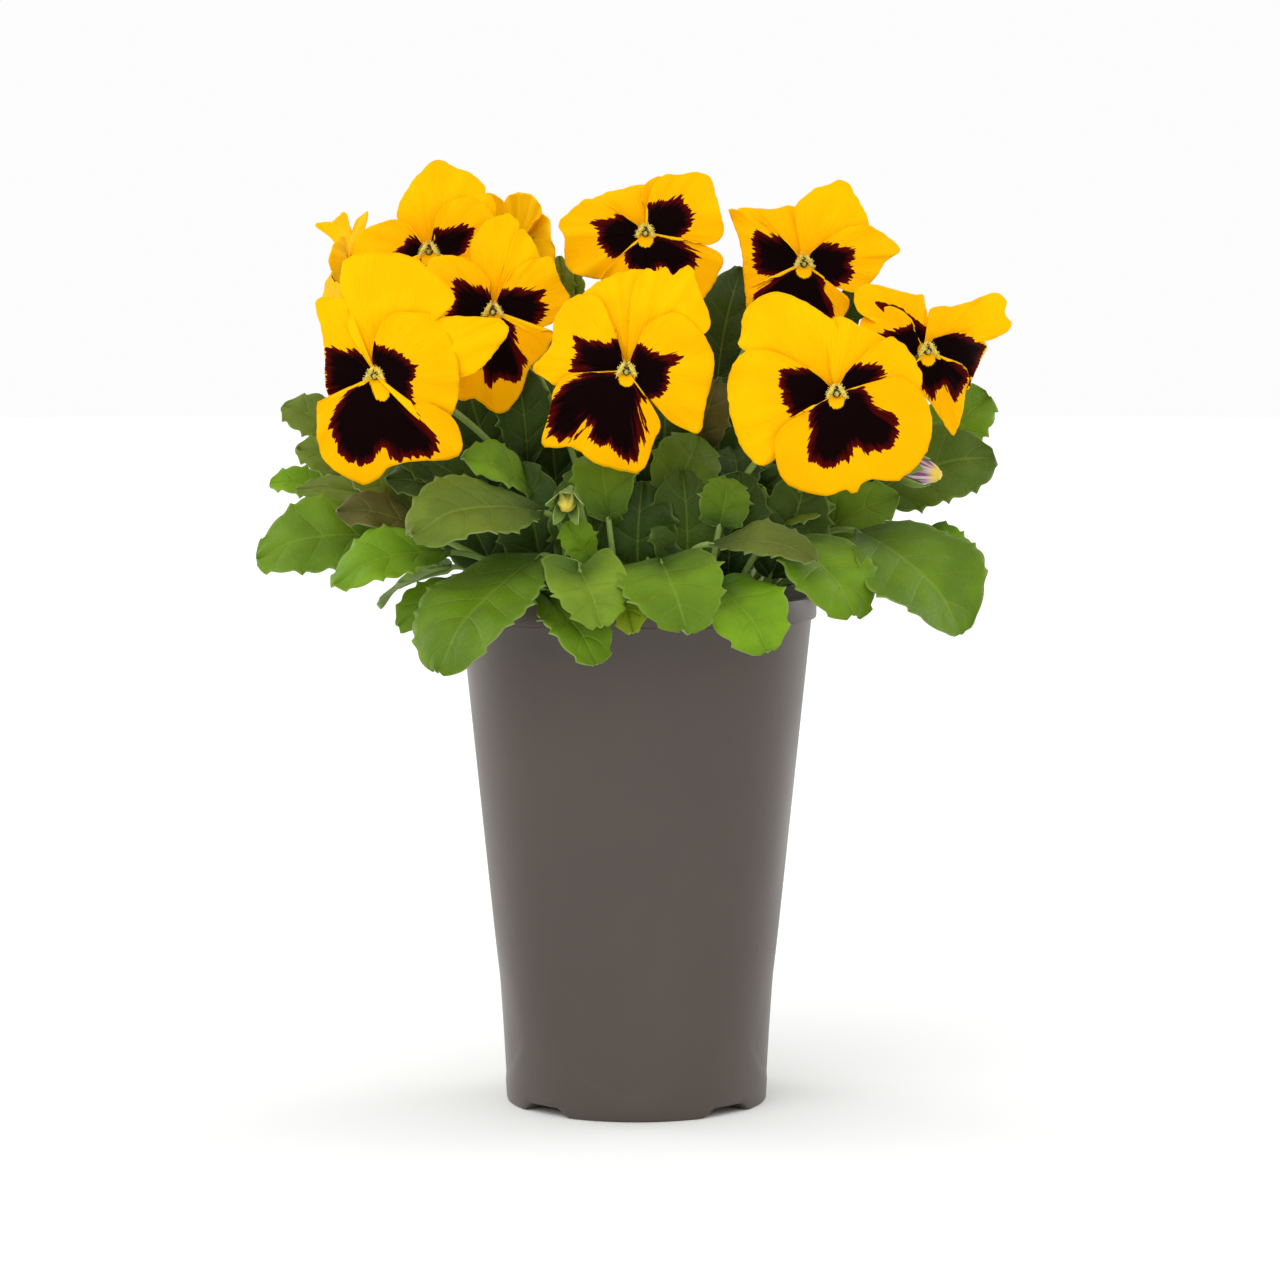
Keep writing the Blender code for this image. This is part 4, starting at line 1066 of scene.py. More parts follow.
def depth_inside(point, loop):
    """How far a flat point is inside a closed line; negative outside it."""
    x, y = point
    nearest = math.inf
    inside = False
    ax, ay = loop[-1]
    for bx, by in loop:
        dx = bx - ax
        dy = by - ay
        t = ((x - ax) * dx + (y - ay) * dy) / max(dx * dx + dy * dy, 1e-9)
        t = min(1.0, max(0.0, t))
        nearest = min(nearest, (ax + t * dx - x) ** 2 + (ay + t * dy - y) ** 2)
        if (ay > y) != (by > y) and x < dx * (y - ay) / dy + ax:
            inside = not inside
        ax, ay = bx, by
    return math.sqrt(nearest) if inside else -math.sqrt(nearest)


def bent_sheet(columns, rows, place, outward, floats=(), colours=()):
    """A sheet of columns by rows faces whose front looks outward.

    place(u, v) gives the point, the flat pair and the values of a vertex, for u and v from 0 to 1.
    """
    bm = bmesh.new()
    flat = bm.loops.layers.uv.new("flat")
    layers = {name: bm.verts.layers.float.new(name) for name in floats}
    layers.update({name: bm.verts.layers.float_color.new(name) for name in colours})
    bmesh.ops.create_grid(bm, x_segments=columns, y_segments=rows, size=GRID_SIZE)
    flats = {}
    for vert in bm.verts:
        point, flats[vert], values = place(vert.co.x + GRID_SIZE, vert.co.y + GRID_SIZE)
        vert.co = point * MM
        for name, layer in layers.items():
            vert[layer] = values[name]
    for face in bm.faces:
        for loop in face.loops:
            loop[flat].uv = flats[loop.vert]
    bm.normal_update()
    total = sum((face.normal * face.calc_area() for face in bm.faces), Vector((0, 0, 0)))
    if total.dot(outward) < 0:
        bmesh.ops.reverse_faces(bm, faces=bm.faces[:])
    return bm


def loft(bm, rings):
    """A closed body: the edges of a circle are extruded from each ring of points to the next."""
    ring = bmesh.ops.create_circle(bm, cap_ends=True, segments=len(rings[0]), radius=1.0)["verts"]
    for vert, point in zip(ring, rings[0]):
        vert.co = point * MM
    edges = [bm.edges.get((ring[i - 1], ring[i])) for i in range(len(ring))]
    made_verts = set(ring)
    for points in rings[1:]:
        grown = bmesh.ops.extrude_edge_only(bm, edges=edges)["geom"]
        new_verts = {item for item in grown if isinstance(item, bmesh.types.BMVert)}
        ring = [next(edge.other_vert(vert) for edge in vert.link_edges
                     if edge.other_vert(vert) in new_verts) for vert in ring]
        for vert, point in zip(ring, points):
            vert.co = point * MM
        edges = [bm.edges.get((ring[i - 1], ring[i])) for i in range(len(ring))]
        made_verts |= new_verts
    bmesh.ops.contextual_create(bm, geom=edges)
    faces = list({face for vert in made_verts for face in vert.link_faces})
    bmesh.ops.recalc_face_normals(bm, faces=faces)


def round_ring(centre, side, along, radius, sides=STALK_SIDES):
    """A ring of points round a centre, across a direction."""
    other = along.cross(side).normalized()
    ring = []
    for i in range(sides):
        angle = 2.0 * math.pi / sides * i
        ring.append(centre + (side * math.cos(angle) + other * math.sin(angle)) * radius)
    return ring


def stalk_rings(curve, steps, start_radius, end_radius, side):
    """Round sections along a curve, the last one just at its end."""
    rings = []
    for step in range(steps + 1):
        t = step / steps
        place, along = bezier(curve, t)
        across = (side - along * side.dot(along)).normalized()
        rings.append(round_ring(place, across, along, start_radius + (end_radius - start_radius) * t))
    return rings


def turned(right, up, forward):
    """The turn that takes X, Y and Z to three directions."""
    return Matrix((right, up, forward)).transposed().to_4x4()


def add_lump(bm, matrix, segments=14):
    """A round lump: a sphere that matrix squashes and places, in millimetres."""
    made = bmesh.ops.create_uvsphere(bm, u_segments=segments, v_segments=max(6, segments * 2 // 3),
                                     radius=1.0, matrix=Matrix.Scale(MM, 4) @ matrix)
    return list({face for vert in made["verts"] for face in vert.link_faces})


def new_object(name, data):
    """A new object in the scene."""
    made = bpy.data.objects.new(name, data)
    bpy.context.scene.collection.objects.link(made)
    return made


def new_mesh_object(name, bm):
    """A new object with the mesh of a bmesh, which is used up."""
    mesh = bpy.data.meshes.new(name)
    bm.to_mesh(mesh)
    bm.free()
    return new_object(name, mesh)


def add_piece(name, bm, materials, nodes=(), thickness=0.0):
    """A finished piece that rides on the planter and stands for the named CAD nodes."""
    piece = new_mesh_object(name, bm)
    piece.data.shade_smooth()
    for material in materials:
        piece.data.materials.append(material)
    if thickness:
        wall = piece.modifiers.new("wall", "SOLIDIFY")
        wall.thickness = thickness * MM
        wall.offset = -1.0
        wall.material_offset = 1
        wall.material_offset_rim = 1
    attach(piece, "root")
    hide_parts(*nodes)
    return piece


# --- Pot and soil ------------------------------------------------------------


def pot_half(z):
    """Half width of the outside of the pot, without its rim band."""
    if z < WAIST_Z:
        return BASE_HALF + (WAIST_HALF - BASE_HALF) * z / WAIST_Z
    return WAIST_HALF + (NECK_HALF - WAIST_HALF) * (z - WAIST_Z) / (NECK_Z - WAIST_Z)


SOIL_HALF = pot_half(SOIL_Z) - SOIL_CLEARANCE


def pot_power(z):
    """Exponent of the pot's outline, from a circle at the base to a rounded square."""
    return ROUND_POWER + (SQUARE_POWER - ROUND_POWER) * smooth_step(z, SQUARE_FROM_Z, SQUARE_FULL_Z)


def panel_dent(aside, z):
    """How far a side panel lies in, at a distance aside from its middle and at a height."""
    edge = PANEL_Z + PANEL_RISE * (aside / PANEL_HALF) ** 2
    within = 1.0 - smooth_step(aside, PANEL_HALF - 6, PANEL_HALF + 4)
    above = smooth_step(z, edge, edge + PANEL_SOFTNESS)
    return PANEL_DEPTH * above * within * (1.0 - smooth_step(z, PANEL_FADE_Z, PANEL_END_Z))


def pot_outline(half, power, z, sides=POT_SIDES):
    """A ring of points on a superellipse; z is a height or a function of the angle in degrees."""
    points = []
    for i in range(sides):
        angle = 2.0 * math.pi * i / sides
        c = math.cos(angle)
        s = math.sin(angle)
        reach = half / (abs(c) ** power + abs(s) ** power) ** (1.0 / power)
        height = z(math.degrees(angle)) if callable(z) else z
        reach -= panel_dent(reach * min(abs(c), abs(s)), height)
        points.append(Vector((reach * c, reach * s, height)))
    return points


def foot_edge(degrees):
    """Height of the pot's lower edge: four wide feet with a raised notch between them."""
    from_foot = abs((degrees + 45.0) % 90.0 - 45.0)
    return FOOT_HEIGHT * smooth_step(from_foot, FOOT_HALF_ANGLE, NOTCH_ANGLE)


def corner(half, z, inward, radius, steps=5):
    """Rings round a quarter turn: from below a corner at (half, z) to its inner side."""
    rings = []
    for step in range(steps + 1):
        a = math.pi / 2 * step / steps
        out = half - inward * radius * (1.0 - math.cos(a))
        rings.append(pot_outline(out, SQUARE_POWER, z - radius * (1.0 - math.sin(a))))
    return rings


def pot_rings():
    """The rings of the pot's shell: under the floor, up the outside, over the rim and down inside."""
    foot_half = BASE_HALF - FOOT_WIDTH
    base = (
        (foot_half - 0.4, FLOOR_Z),
        (foot_half - 0.3, lambda degrees: max(foot_edge(degrees), 0.4)),
        (foot_half + 0.2, foot_edge),
        (BASE_HALF - 0.9, foot_edge),
        (BASE_HALF - 0.25, lambda degrees: foot_edge(degrees) + 0.25),
        (BASE_HALF, lambda degrees: foot_edge(degrees) + 0.9),
    )
    ledge = (
        (NECK_HALF, NECK_Z),
        (NECK_HALF + 0.1, NECK_Z + 0.35),
        (RIM_HALF - 0.7, RIM_LEDGE_Z - 0.7),
        (RIM_HALF - 0.15, RIM_LEDGE_Z - 0.4),
        (RIM_HALF, RIM_LEDGE_Z + 0.3),
        (RIM_HALF, RIM_LEDGE_Z + 3.0),
    )
    rings = [pot_outline(half, ROUND_POWER, z) for half, z in base]
    rings += [pot_outline(pot_half(z), pot_power(z), z) for z in POT_LEVELS]
    rings += [pot_outline(half, SQUARE_POWER, z) for half, z in ledge]
    rings += corner(RIM_HALF, POT_HEIGHT, 1.0, 0.7)
    rings += reversed(corner(RIM_HALF - WALL - 0.4, POT_HEIGHT, -1.0, 0.5))
    rings.append(pot_outline(RIM_HALF - WALL - 0.6, SQUARE_POWER, RIM_LEDGE_Z))
    rings.append(pot_outline(NECK_HALF - WALL, SQUARE_POWER, NECK_Z - 1.0))
    rings += [pot_outline(pot_half(z) - WALL, pot_power(z), z)
              for z in reversed(POT_LEVELS) if z > FLOOR_Z + FLOOR_THICK]
    return rings


def drain_rods():
    """Rods in the place of the drain holes: four in a ring and one in the middle."""
    bm = bmesh.new()
    for i in range(DRAIN_HOLES):
        angle = math.radians(45 + 90 * i)
        ring = DRAIN_RING if i < DRAIN_HOLES - 1 else 0.0
        place = Vector((ring * math.cos(angle), ring * math.sin(angle), FLOOR_Z)) * MM
        bmesh.ops.create_cone(bm, cap_ends=True, segments=32, radius1=DRAIN_RADIUS * MM,
                              radius2=DRAIN_RADIUS * MM, depth=8 * MM, matrix=Matrix.Translation(place))
    return bm


def build_pot(settings):
    """The pot: floor, feet, wall, ledge and rim band as one thin shell with drain holes."""
    bm = bmesh.new()
    loft(bm, pot_rings())
    whole = new_mesh_object("pot_shell_whole", bm)
    cutter = new_mesh_object("drain_cutter", drain_rods())
    drill = whole.modifiers.new("drain_holes", "BOOLEAN")
    drill.operation = "DIFFERENCE"
    drill.solver = "EXACT"
    drill.object = cutter
    bm = bmesh.new()
    bm.from_object(whole, bpy.context.evaluated_depsgraph_get())
    for helper in (whole, cutter):
        bpy.data.objects.remove(helper, do_unlink=True)
    piece = add_piece("pot_shell", bm, [pot_material(settings)], ("pot",))
    piece.data.set_sharp_from_angle(angle=math.radians(SHARP_ANGLE))


def add_soil_bed(settings):
    """The soil itself, with an uneven top."""
    bottom = FLOOR_Z + FLOOR_THICK + SOIL_GAP
    levels = (bottom, 30.0, WAIST_Z, SQUARE_FULL_Z, 110.0, SOIL_Z - 6.0, SOIL_Z - 2.0)
    rings = [pot_outline(pot_half(z) - SOIL_CLEARANCE, pot_power(z), z, SOIL_SIDES) for z in levels]
    for i in range(SOIL_RINGS):
        half = SOIL_HALF * (1.0 - (i + 0.4) / SOIL_RINGS)
        rings.append(pot_outline(half, SQUARE_POWER, SOIL_Z - 0.6 + 0.6 * (i > 0), SOIL_SIDES))
    bm = bmesh.new()
    loft(bm, rings)
    for vert in bm.verts:
        if vert.co.z > (SOIL_Z - 1.0) * MM:
            rough = noise.fractal(vert.co * 90, 1.0, 2.0, 4) + 0.6 * noise.noise(vert.co * 320)
            vert.co.z += min(0.9, rough) * 1.3 * MM
    add_piece("soil_bed", bm, [soil_material(settings)], ("soil",))


def add_crumbs(settings, chance):
    """Crumbs that lie on the soil."""
    bm = bmesh.new()
    for _ in range(settings.crumbs):
        a = chance.uniform(0, 2 * math.pi)
        reach = math.sqrt(chance.random()) * (SOIL_HALF - 1.5)
        size = chance.uniform(0.35, 1.0) ** 2 * settings.crumb_radius
        place = Matrix.Translation(Vector((reach * math.cos(a), reach * math.sin(a), SOIL_Z + 0.4)) * MM)
        turn = Matrix.Rotation(chance.uniform(0, 6), 4, Vector((chance.random(), chance.random(), 1)))
        squash = Matrix.Diagonal((size, size * chance.uniform(0.6, 1), size * chance.uniform(0.5, 0.9), 1))
        made = bmesh.ops.create_icosphere(bm, subdivisions=1, radius=1.0, matrix=place @ turn @ squash)
        for vert in made["verts"]:
            vert.co += Vector([chance.uniform(-0.16, 0.16) * size for _ in range(3)])
    add_piece("soil_crumbs", bm, [soil_material(settings)], ("soil",))


def add_fibres(settings, chance):
    """Dry fibres that lie on the soil."""
    bm = bmesh.new()
    for _ in range(FIBRES):
        a = chance.uniform(0, 2 * math.pi)
        reach = math.sqrt(chance.random()) * (SOIL_HALF - 6)
        heading = chance.uniform(0, math.pi)
        start = Vector((reach * math.cos(a), reach * math.sin(a), SOIL_Z + 0.8))
        run = Vector((math.cos(heading), math.sin(heading), 0)) * chance.uniform(2.5, 6.5)
        curve = (start - run, start - run * 0.3 + UP * 0.8, start + run * 0.3 + UP * 0.2, start + run)
        rings = []
        for step in range(FIBRE_STEPS + 1):
            place, along = bezier(curve, step / FIBRE_STEPS)
            rings.append(round_ring(place, along.cross(UP).normalized(), along, FIBRE_RADIUS, 5))
        loft(bm, rings)
    add_piece("soil_fibres", bm, [fibre_material(settings)], ("soil",))


def build_soil(settings):
    """Uneven soil with crumbs and fibres lying on it."""
    chance = random.Random(SOIL_SEED)
    add_soil_bed(settings)
    add_crumbs(settings, chance)
    add_fibres(settings, chance)


# --- Leaves ------------------------------------------------------------------


def leaf_stalk_curve(foot_xy, base, along, normal, arch, length):
    """The curve of a leaf stalk from its foot to the base of the blade."""
    foot = Vector((*foot_xy, FOOT_Z))
    start_along = (along + normal * (4.0 * arch / length)).normalized()
    reach = (base - foot).length
    return foot, foot + UP * (0.42 * reach), base - start_along * (0.34 * reach), base


def add_leaf(name, row, settings, seed, nodes=()):
    """A leaf: a toothed and quilted blade, and a stalk that runs on under it as the midrib."""
    foot_xy, base, tip, half_width, face, arch, fold, shape, tint = row
    base = Vector(base)
    along = Vector(tip) - base
    length = along.length
    along.normalize()
    side = along.cross(Vector(face)).normalized()
    normal = side.cross(along)
    skew, blunt = BLADE_SHAPES[shape]
    lobe = HEART_LOBES.get(name, PLAIN_LOBE)
    veins = max(3, round(length / VEIN_SPACING))
    breadth = min(1.0, half_width / BROAD_HALF)
    tooth = settings.tooth_depth / MM * (0.6 + 0.4 * breadth)
    chance = random.Random(seed)
    drift = chance.uniform(0, 50)
    bend = chance.uniform(-0.05, 0.05) * length
    shade = chance.uniform(0.88, 1.12)
    colour = (*(min(1.0, part * shade) for part in linear(LEAF_TINTS[tint])), 1.0)

    def middle(t):
        """Centre line of the blade."""
        sway = side * (bend * math.sin(math.pi * t))
        return base + along * (length * t) + normal * (arch * 4.0 * t * (1.0 - t)) + sway

    def place(u, v):
        """A point of the blade, from margin to margin and from base to tip."""
        across = 2.0 * u - 1.0
        t = BLADE_END + (1.0 - 2.0 * BLADE_END) * v
        far = abs(across)
        base_taper = 1.0 + 0.13 * lobe * (1.0 - smooth_step(t, 0.0, 0.45))
        share = math.sin(math.pi * t ** skew) ** (blunt * base_taper)
        phase = veins * (t - VEIN_SLOPE * far)
        scallop = math.sin(math.pi * (phase % 1.0) ** TOOTH_SKEW) ** TOOTH_BLUNTNESS - TOOTH_MIDDLE
        toothed = smooth_step(t, 0.08, 0.28) * far ** 6
        wide = across * (half_width - 0.4) * share
        wide += math.copysign(tooth * scallop * toothed, across)
        back = lobe * across * across * math.sin(math.pi * min(1.0, t / 0.4))
        quilt = abs(math.sin(math.pi * phase)) ** 0.7 * min(1.0, 3.0 * far) * (1.0 - far ** 3)
        lift = fold * share * across * across + quilt * breadth
        lift -= MIDRIB_DEPTH * math.exp(-((far / 0.10) ** 2)) * share
        wave = LEAF_WAVE * noise.noise(Vector((across * 0.9 + drift, t * 3.4, drift))) * far * breadth
        curl = -0.09 * length * smooth_step(t, 0.6, 1.0) ** 2
        point = middle(t) + side * wide - along * back + normal * (lift + wave + curl)
        return point, (u, t), {"vein_count": float(veins), "leaf_colour": colour}

    blade = bent_sheet(BLADE_COLUMNS, BLADE_ROWS * veins, place, normal, ("vein_count",), ("leaf_colour",))
    looks = [leaf_top_material(settings), leaf_under_material(settings)]
    add_piece(name + "_blade", blade, looks, nodes, LEAF_THICKNESS)
    end_radius = LEAF_STALK_RADIUS * 0.8
    curve = leaf_stalk_curve(foot_xy, base, along, normal, arch, length)
    rings = stalk_rings(curve, LEAF_STALK_STEPS, LEAF_STALK_RADIUS, end_radius, side)
    for step in range(1, MIDRIB_STEPS + 1):
        t = MIDRIB_STEP * step
        thin = end_radius * (1.0 - 0.1 * step)
        rings.append(round_ring(middle(t) - normal * (0.9 + 0.4 * thin), side, along, thin))
    bm = bmesh.new()
    loft(bm, rings)
    add_piece(name + "_stalk", bm, [stalk_material(settings)], nodes)


def build_leaves(settings):
    """Every leaf that has a CAD node."""
    for seed, (place, row) in enumerate(LEAVES.items()):
        name = "leaf_" + place
        add_leaf(name, row, settings, seed, (name,))


def build_small_leaves(settings):
    """The small leaves between the others."""
    for seed, (place, row) in enumerate(SMALL_LEAVES.items()):
        add_leaf("small_leaf_" + place, row, settings, SMALL_LEAF_SEED + seed)


# --- Flowers -----------------------------------------------------------------


def facing(azimuth, elevation):
    """The right, up and forward directions of a flower that faces one way."""
    a = math.radians(azimuth)
    e = math.radians(elevation)
    forward = Vector((math.cos(e) * math.cos(a), math.cos(e) * math.sin(a), math.sin(e)))
    right = UP.cross(forward).normalized()
    return right, forward.cross(right), forward


def sideways(axes, angle):
    """The direction at an angle from a flower's right, across the way that it faces."""
    return axes[0] * math.cos(angle) + axes[1] * math.sin(angle)


def add_petal(flower, petal, eye, axes, droop, settings, seed):
    """One petal: a fan from the eye to its edge, ruffled at the rim."""
    right, up, forward = axes
    rim = spaced(smooth_line(PETAL_EDGES[flower][petal], False), PETAL_COLUMNS)
    length = sum((end - start).length for start, end in zip(rim, rim[1:]))
    total = sum(rim, Vector((0, 0)))
    middle = math.atan2(total.y, total.x)
    edge = BLOTCH_EDGES[flower].get(petal)
    blotch = [tuple(point) for point in smooth_line(edge, True)] if edge else None
    layer = PETAL_LAYERS[petal] + PETAL_LIFTS.get((flower, petal), 0.0)
    fray = PETAL_FRAYS.get((flower, petal), USUAL_FRAY)
    curl = PETAL_CURLS.get((flower, petal), 0.0)
    throat_end = Vector(THROAT_ENDS.get(flower, THROAT_END))
    ruffle = settings.ruffle / MM
    farthest = max(point.length for point in rim)

    def uneven_by(around, spacing, outward, salt):
        """Unevenness that changes with the way round the rim and the way out to it."""
        return noise.noise(Vector((around * length / spacing, outward, seed + salt)))

    def place(u, v):
        """A point of the petal, from one side of the fan to the other and out from the eye."""
        share = PETAL_START + (1.0 - PETAL_START) * v ** 0.85
        jag = uneven_by(u, 2.6, 3.0, 0.0)
        flat = rim[round(u * PETAL_COLUMNS)] * share * (1.0 + RIM_JAG * jag * share ** 6)
        rho = flat.length
        turn = math.atan2(flat.y, flat.x) - middle
        turn = (turn + math.pi) % (2.0 * math.pi) - math.pi
        part = rho / farthest
        wave = uneven_by(u, 8.0, part * 1.5, 20.0)
        fold = uneven_by(u, 3.2, part * 0.8, 40.0)
        crease = uneven_by(u, 4.4, part * 0.4, 60.0)
        depth = layer + PETAL_BOW * math.sin(math.pi * min(1.0, part)) - droop * part * part
        depth += ruffle * (1.6 * wave * share ** 3 + 0.7 * crease * share ** 5) + 0.45 * fold * share
        depth += curl * part ** 3 - PETAL_CUP * (2.0 * u - 1.0) ** 2 * share
        point = eye + right * flat.x + up * flat.y + forward * depth
        from_eye = min(1.0, max(0.0, flat.dot(throat_end) / throat_end.length_squared))
        values = {
            "blotch": depth_inside(flat, blotch) if blotch else NO_BLOTCH,
            "warmth": PETAL_WARMTH[petal],
            "fray": fray,
            "throat": THROAT_RADIUS - (flat - throat_end * from_eye).length,
        }
        return point, (turn * STREAK_RADIUS + seed * 7.3, rho), values

    bm = bent_sheet(PETAL_COLUMNS, PETAL_ROWS, place, forward, ("blotch", "warmth", "fray", "throat"))
    looks = [petal_front_material(settings), petal_back_material(settings)]
    add_piece("petal_" + flower + "_" + petal, bm, looks, ("corolla_" + flower,),
              PETAL_THICKNESS)


def add_eye(flower, eye, axes, settings, seed):
    """The middle of a flower: two bearded pads, the stigma between them and a dark lump of painted shade in
    the throat.
    """
    turn = turned(*axes)
    at_eye = Matrix.Translation(eye) @ turn
    chance = random.Random(seed)
    bm = bmesh.new()
    for hand in (-1, 1):
        lean = Matrix.Rotation(math.radians(PAD_LEAN * hand), 4, "Z")
        centre = Vector((PAD_CENTRE[0] * hand, *PAD_CENTRE[1:]))
        pad = Matrix.Translation(centre) @ lean @ Matrix.Diagonal((*PAD_HALF, 1.0))
        add_lump(bm, at_eye @ pad)
        for _ in range(PAD_HAIRS):
            a = chance.uniform(0, 2 * math.pi)
            tall = chance.uniform(0.15, 1.0)
            level = math.sqrt(1 - tall * tall)
            spot = Vector((math.cos(a) * level, math.sin(a) * level, tall))
            out = (lean @ (spot * Vector(HAIR_SPREAD))).normalized()
            root = lean @ (spot * Vector(PAD_HALF)) + centre
            aim = out.to_track_quat("Z", "Y").to_matrix().to_4x4()
            hair = Matrix.Translation((root + out * 0.3) * MM) @ aim
            bmesh.ops.create_cone(bm, cap_ends=True, segments=5, radius1=HAIR_FOOT_RADIUS * MM,
                                  radius2=HAIR_TIP_RADIUS * MM, depth=HAIR_LENGTH * MM,
                                  matrix=Matrix.Translation(eye * MM) @ turn @ hair)
    # The stigma, and a dark lump of painted shade in the throat.
    for look, (centre, half) in enumerate((STIGMA, THROAT_SHADE_LUMP), start=1):
        body = Matrix.Translation(centre) @ Matrix.Diagonal((*half, 1.0))
        for face in add_lump(bm, at_eye @ body):
            face.material_index = look
    looks = [beard_material(settings), stigma_material(), painted_throat_shade_material()]
    add_piece("eye_" + flower, bm, looks, ("corolla_" + flower,))


def sepal_sheet(centre, axes, angle):
    """One pointed sepal that spreads from the hub, with a small ear behind it."""
    forward = axes[2]
    out = sideways(axes, angle)
    side = forward.cross(out)

    def place(u, v):
        """A point of the sepal, from side to side and from its ear to its point."""
        across = 2.0 * u - 1.0
        t = 1.3 * v - 0.3
        share = math.sin(math.pi * min(0.98, max(0.04, v))) ** 0.7 * (1.0 - 0.35 * v)
        reach = 1.6 + (SEPAL_LENGTH - 1.6) * max(0.0, t)
        back = SEPAL_RISE * max(0.0, t) + 8.0 * min(0.0, t)
        bow = 1.2 * math.sin(math.pi * max(0.0, t)) - 0.5 * across * across
        point = centre + out * reach + side * (across * SEPAL_HALF * share) + forward * (back - bow)
        return point, (u, v), {}

    return bent_sheet(SEPAL_COLUMNS, SEPAL_ROWS, place, -forward)


def add_sepals(name, sheet_at, settings, nodes):
    """Sepals all round a flower or bud: sheet_at(angle) gives the sheet of each."""
    look = sepal_material(settings)
    for i in range(SEPALS):
        sheet = sheet_at(math.radians(90 + 360 / SEPALS * i))
        add_piece(name + "_sepal_" + str(i + 1), sheet, [look, look], nodes, SEPAL_THICKNESS)


def add_calyx(name, centre, axes, settings, nodes):
    """The green hub behind a flower, its spur and its sepals."""
    right, up, forward = axes
    bm = bmesh.new()
    hub = Matrix.Translation(centre) @ turned(right, up, forward) @ Matrix.Diagonal((2.7, 2.7, 2.4, 1.0))
    add_lump(bm, hub, 18)
    start = centre - up * 1.2 - forward * 0.5
    spur = (start, start - forward * 2, start - forward * 4 - up * 0.6, start - forward * 5.5 - up * 1.8)
    loft(bm, stalk_rings(spur, 6, 1.3, 0.7, right))
    add_piece(name + "_hub", bm, [stalk_material(settings)], nodes)
    add_sepals(name, lambda angle: sepal_sheet(centre, axes, angle), settings, nodes)


def add_flower_stalk(name, foot_xy, end, axes, settings, nodes, rise, run_in, steps):
    """The stalk of a flower or bud: upright in the soil, and met by the flower from behind."""
    foot = Vector((*foot_xy, FOOT_Z))
    reach = (end - foot).length
    curve = (foot, foot + UP * (rise * reach), end - axes[2] * run_in + UP * 4, end)
    bm = bmesh.new()
    loft(bm, stalk_rings(curve, steps, FLOWER_STALK_RADIUS, FLOWER_STALK_RADIUS * 0.85, axes[0]))
    add_piece(name, bm, [stalk_material(settings)], nodes)


def add_flower(name, row, settings, leaf_settings, seed):
    """A flower: five petals, the eye, the calyx and the stalk."""
    foot_xy, eye, (azimuth, elevation), droop = row
    eye = Vector(eye)
    axes = facing(azimuth, elevation)
    forward = axes[2]
    for number, petal in enumerate(PETAL_NAMES):
        add_petal(name, petal, eye, axes, droop, settings, seed * 5 + number)
    add_eye(name, eye, axes, settings, seed)
    end = eye - forward * (HUB_BACK + 1.6)
    nodes = ("stalk_" + name,)
    add_calyx("calyx_" + name, end + forward * 1.0, axes, leaf_settings, nodes)
    add_flower_stalk("flower_stalk_" + name, foot_xy, end, axes, leaf_settings, nodes,
                     rise=0.55, run_in=16, steps=30)


def build_flowers(settings, leaf_settings):
    """Every open flower."""
    for seed, (name, row) in enumerate(FLOWERS.items()):
        add_flower(name, row, settings, leaf_settings, seed)


# --- Buds --------------------------------------------------------------------


def rolled_petals(neck, axes, length, radius, seed):
    """The closed petals of a bud: a rolled sheet with twisted folds."""
    forward = axes[2]

    def place(u, v):
        """A point of the roll, round the bud and from its neck to its tip."""
        angle = 2.0 * math.pi * u
        share = math.sin(math.pi * min(0.97, 0.08 + 0.92 * v)) ** 0.45
        fold = 1.0 + 0.10 * math.sin(5 * (angle + BUD_TWIST * v)) * min(1.0, 2 * v)
        wide = radius * share * fold * (1.0 - 0.20 * v)
        point = neck + forward * (length * v) + sideways(axes, angle) * wide
        return point, (u * radius * 6.0 + seed, v), {}

    bm = bent_sheet(ROLL_COLUMNS, ROLL_ROWS, place, -forward)
    bmesh.ops.remove_doubles(bm, verts=bm.verts, dist=0.005 * MM)
    edges = [edge for edge in bm.edges if edge.is_boundary]
    bmesh.ops.holes_fill(bm, edges=edges, sides=0)
    bmesh.ops.recalc_face_normals(bm, faces=bm.faces[:])
    return bm


def add_bud(name, row, settings, seed):
    """A bud: rolled petals in a calyx on a stalk."""
    foot_xy, neck, (azimuth, elevation), length, radius, sepal_length, flare = row
    neck = Vector(neck)
    axes = facing(azimuth, elevation)
    nodes = (name,)
    add_flower_stalk(name + "_stalk", foot_xy, neck, axes, settings, nodes, rise=0.6, run_in=12, steps=24)
    body = rolled_petals(neck + axes[2] * 0.5, axes, length, radius, seed)
    look = rolled_petal_material(name + "_petals", *BUD_COLOURS[name])
    add_piece(name + "_petals", body, [look], nodes)
    add_sepals(name, lambda angle: bud_sepal(neck, axes, angle, sepal_length, radius * 1.12, flare),
               settings, nodes)


def bud_sepal(neck, axes, angle, length, radius, flare):
    """A sepal that hugs a bud and ends in a free point."""
    forward = axes[2]

    def place(u, v):
        """A point of the sepal, from side to side and from its foot to its point."""
        across = 2.0 * u - 1.0
        turn = angle + across * 0.55 * math.sin(math.pi * min(0.98, 0.12 + 0.88 * v)) ** 0.8
        wide = radius * math.sin(math.pi * min(0.80, 0.16 + 0.66 * v)) ** 0.6 + flare * v ** 3
        return neck + sideways(axes, turn) * wide + forward * (length * v - 0.4), (u, v), {}

    return bent_sheet(SEPAL_COLUMNS, SEPAL_ROWS, place, sideways(axes, angle))


def build_buds(settings):
    """Both buds."""
    for seed, (name, row) in enumerate(BUDS.items()):
        add_bud(name, row, settings, seed)


# --- Stage -------------------------------------------------------------------


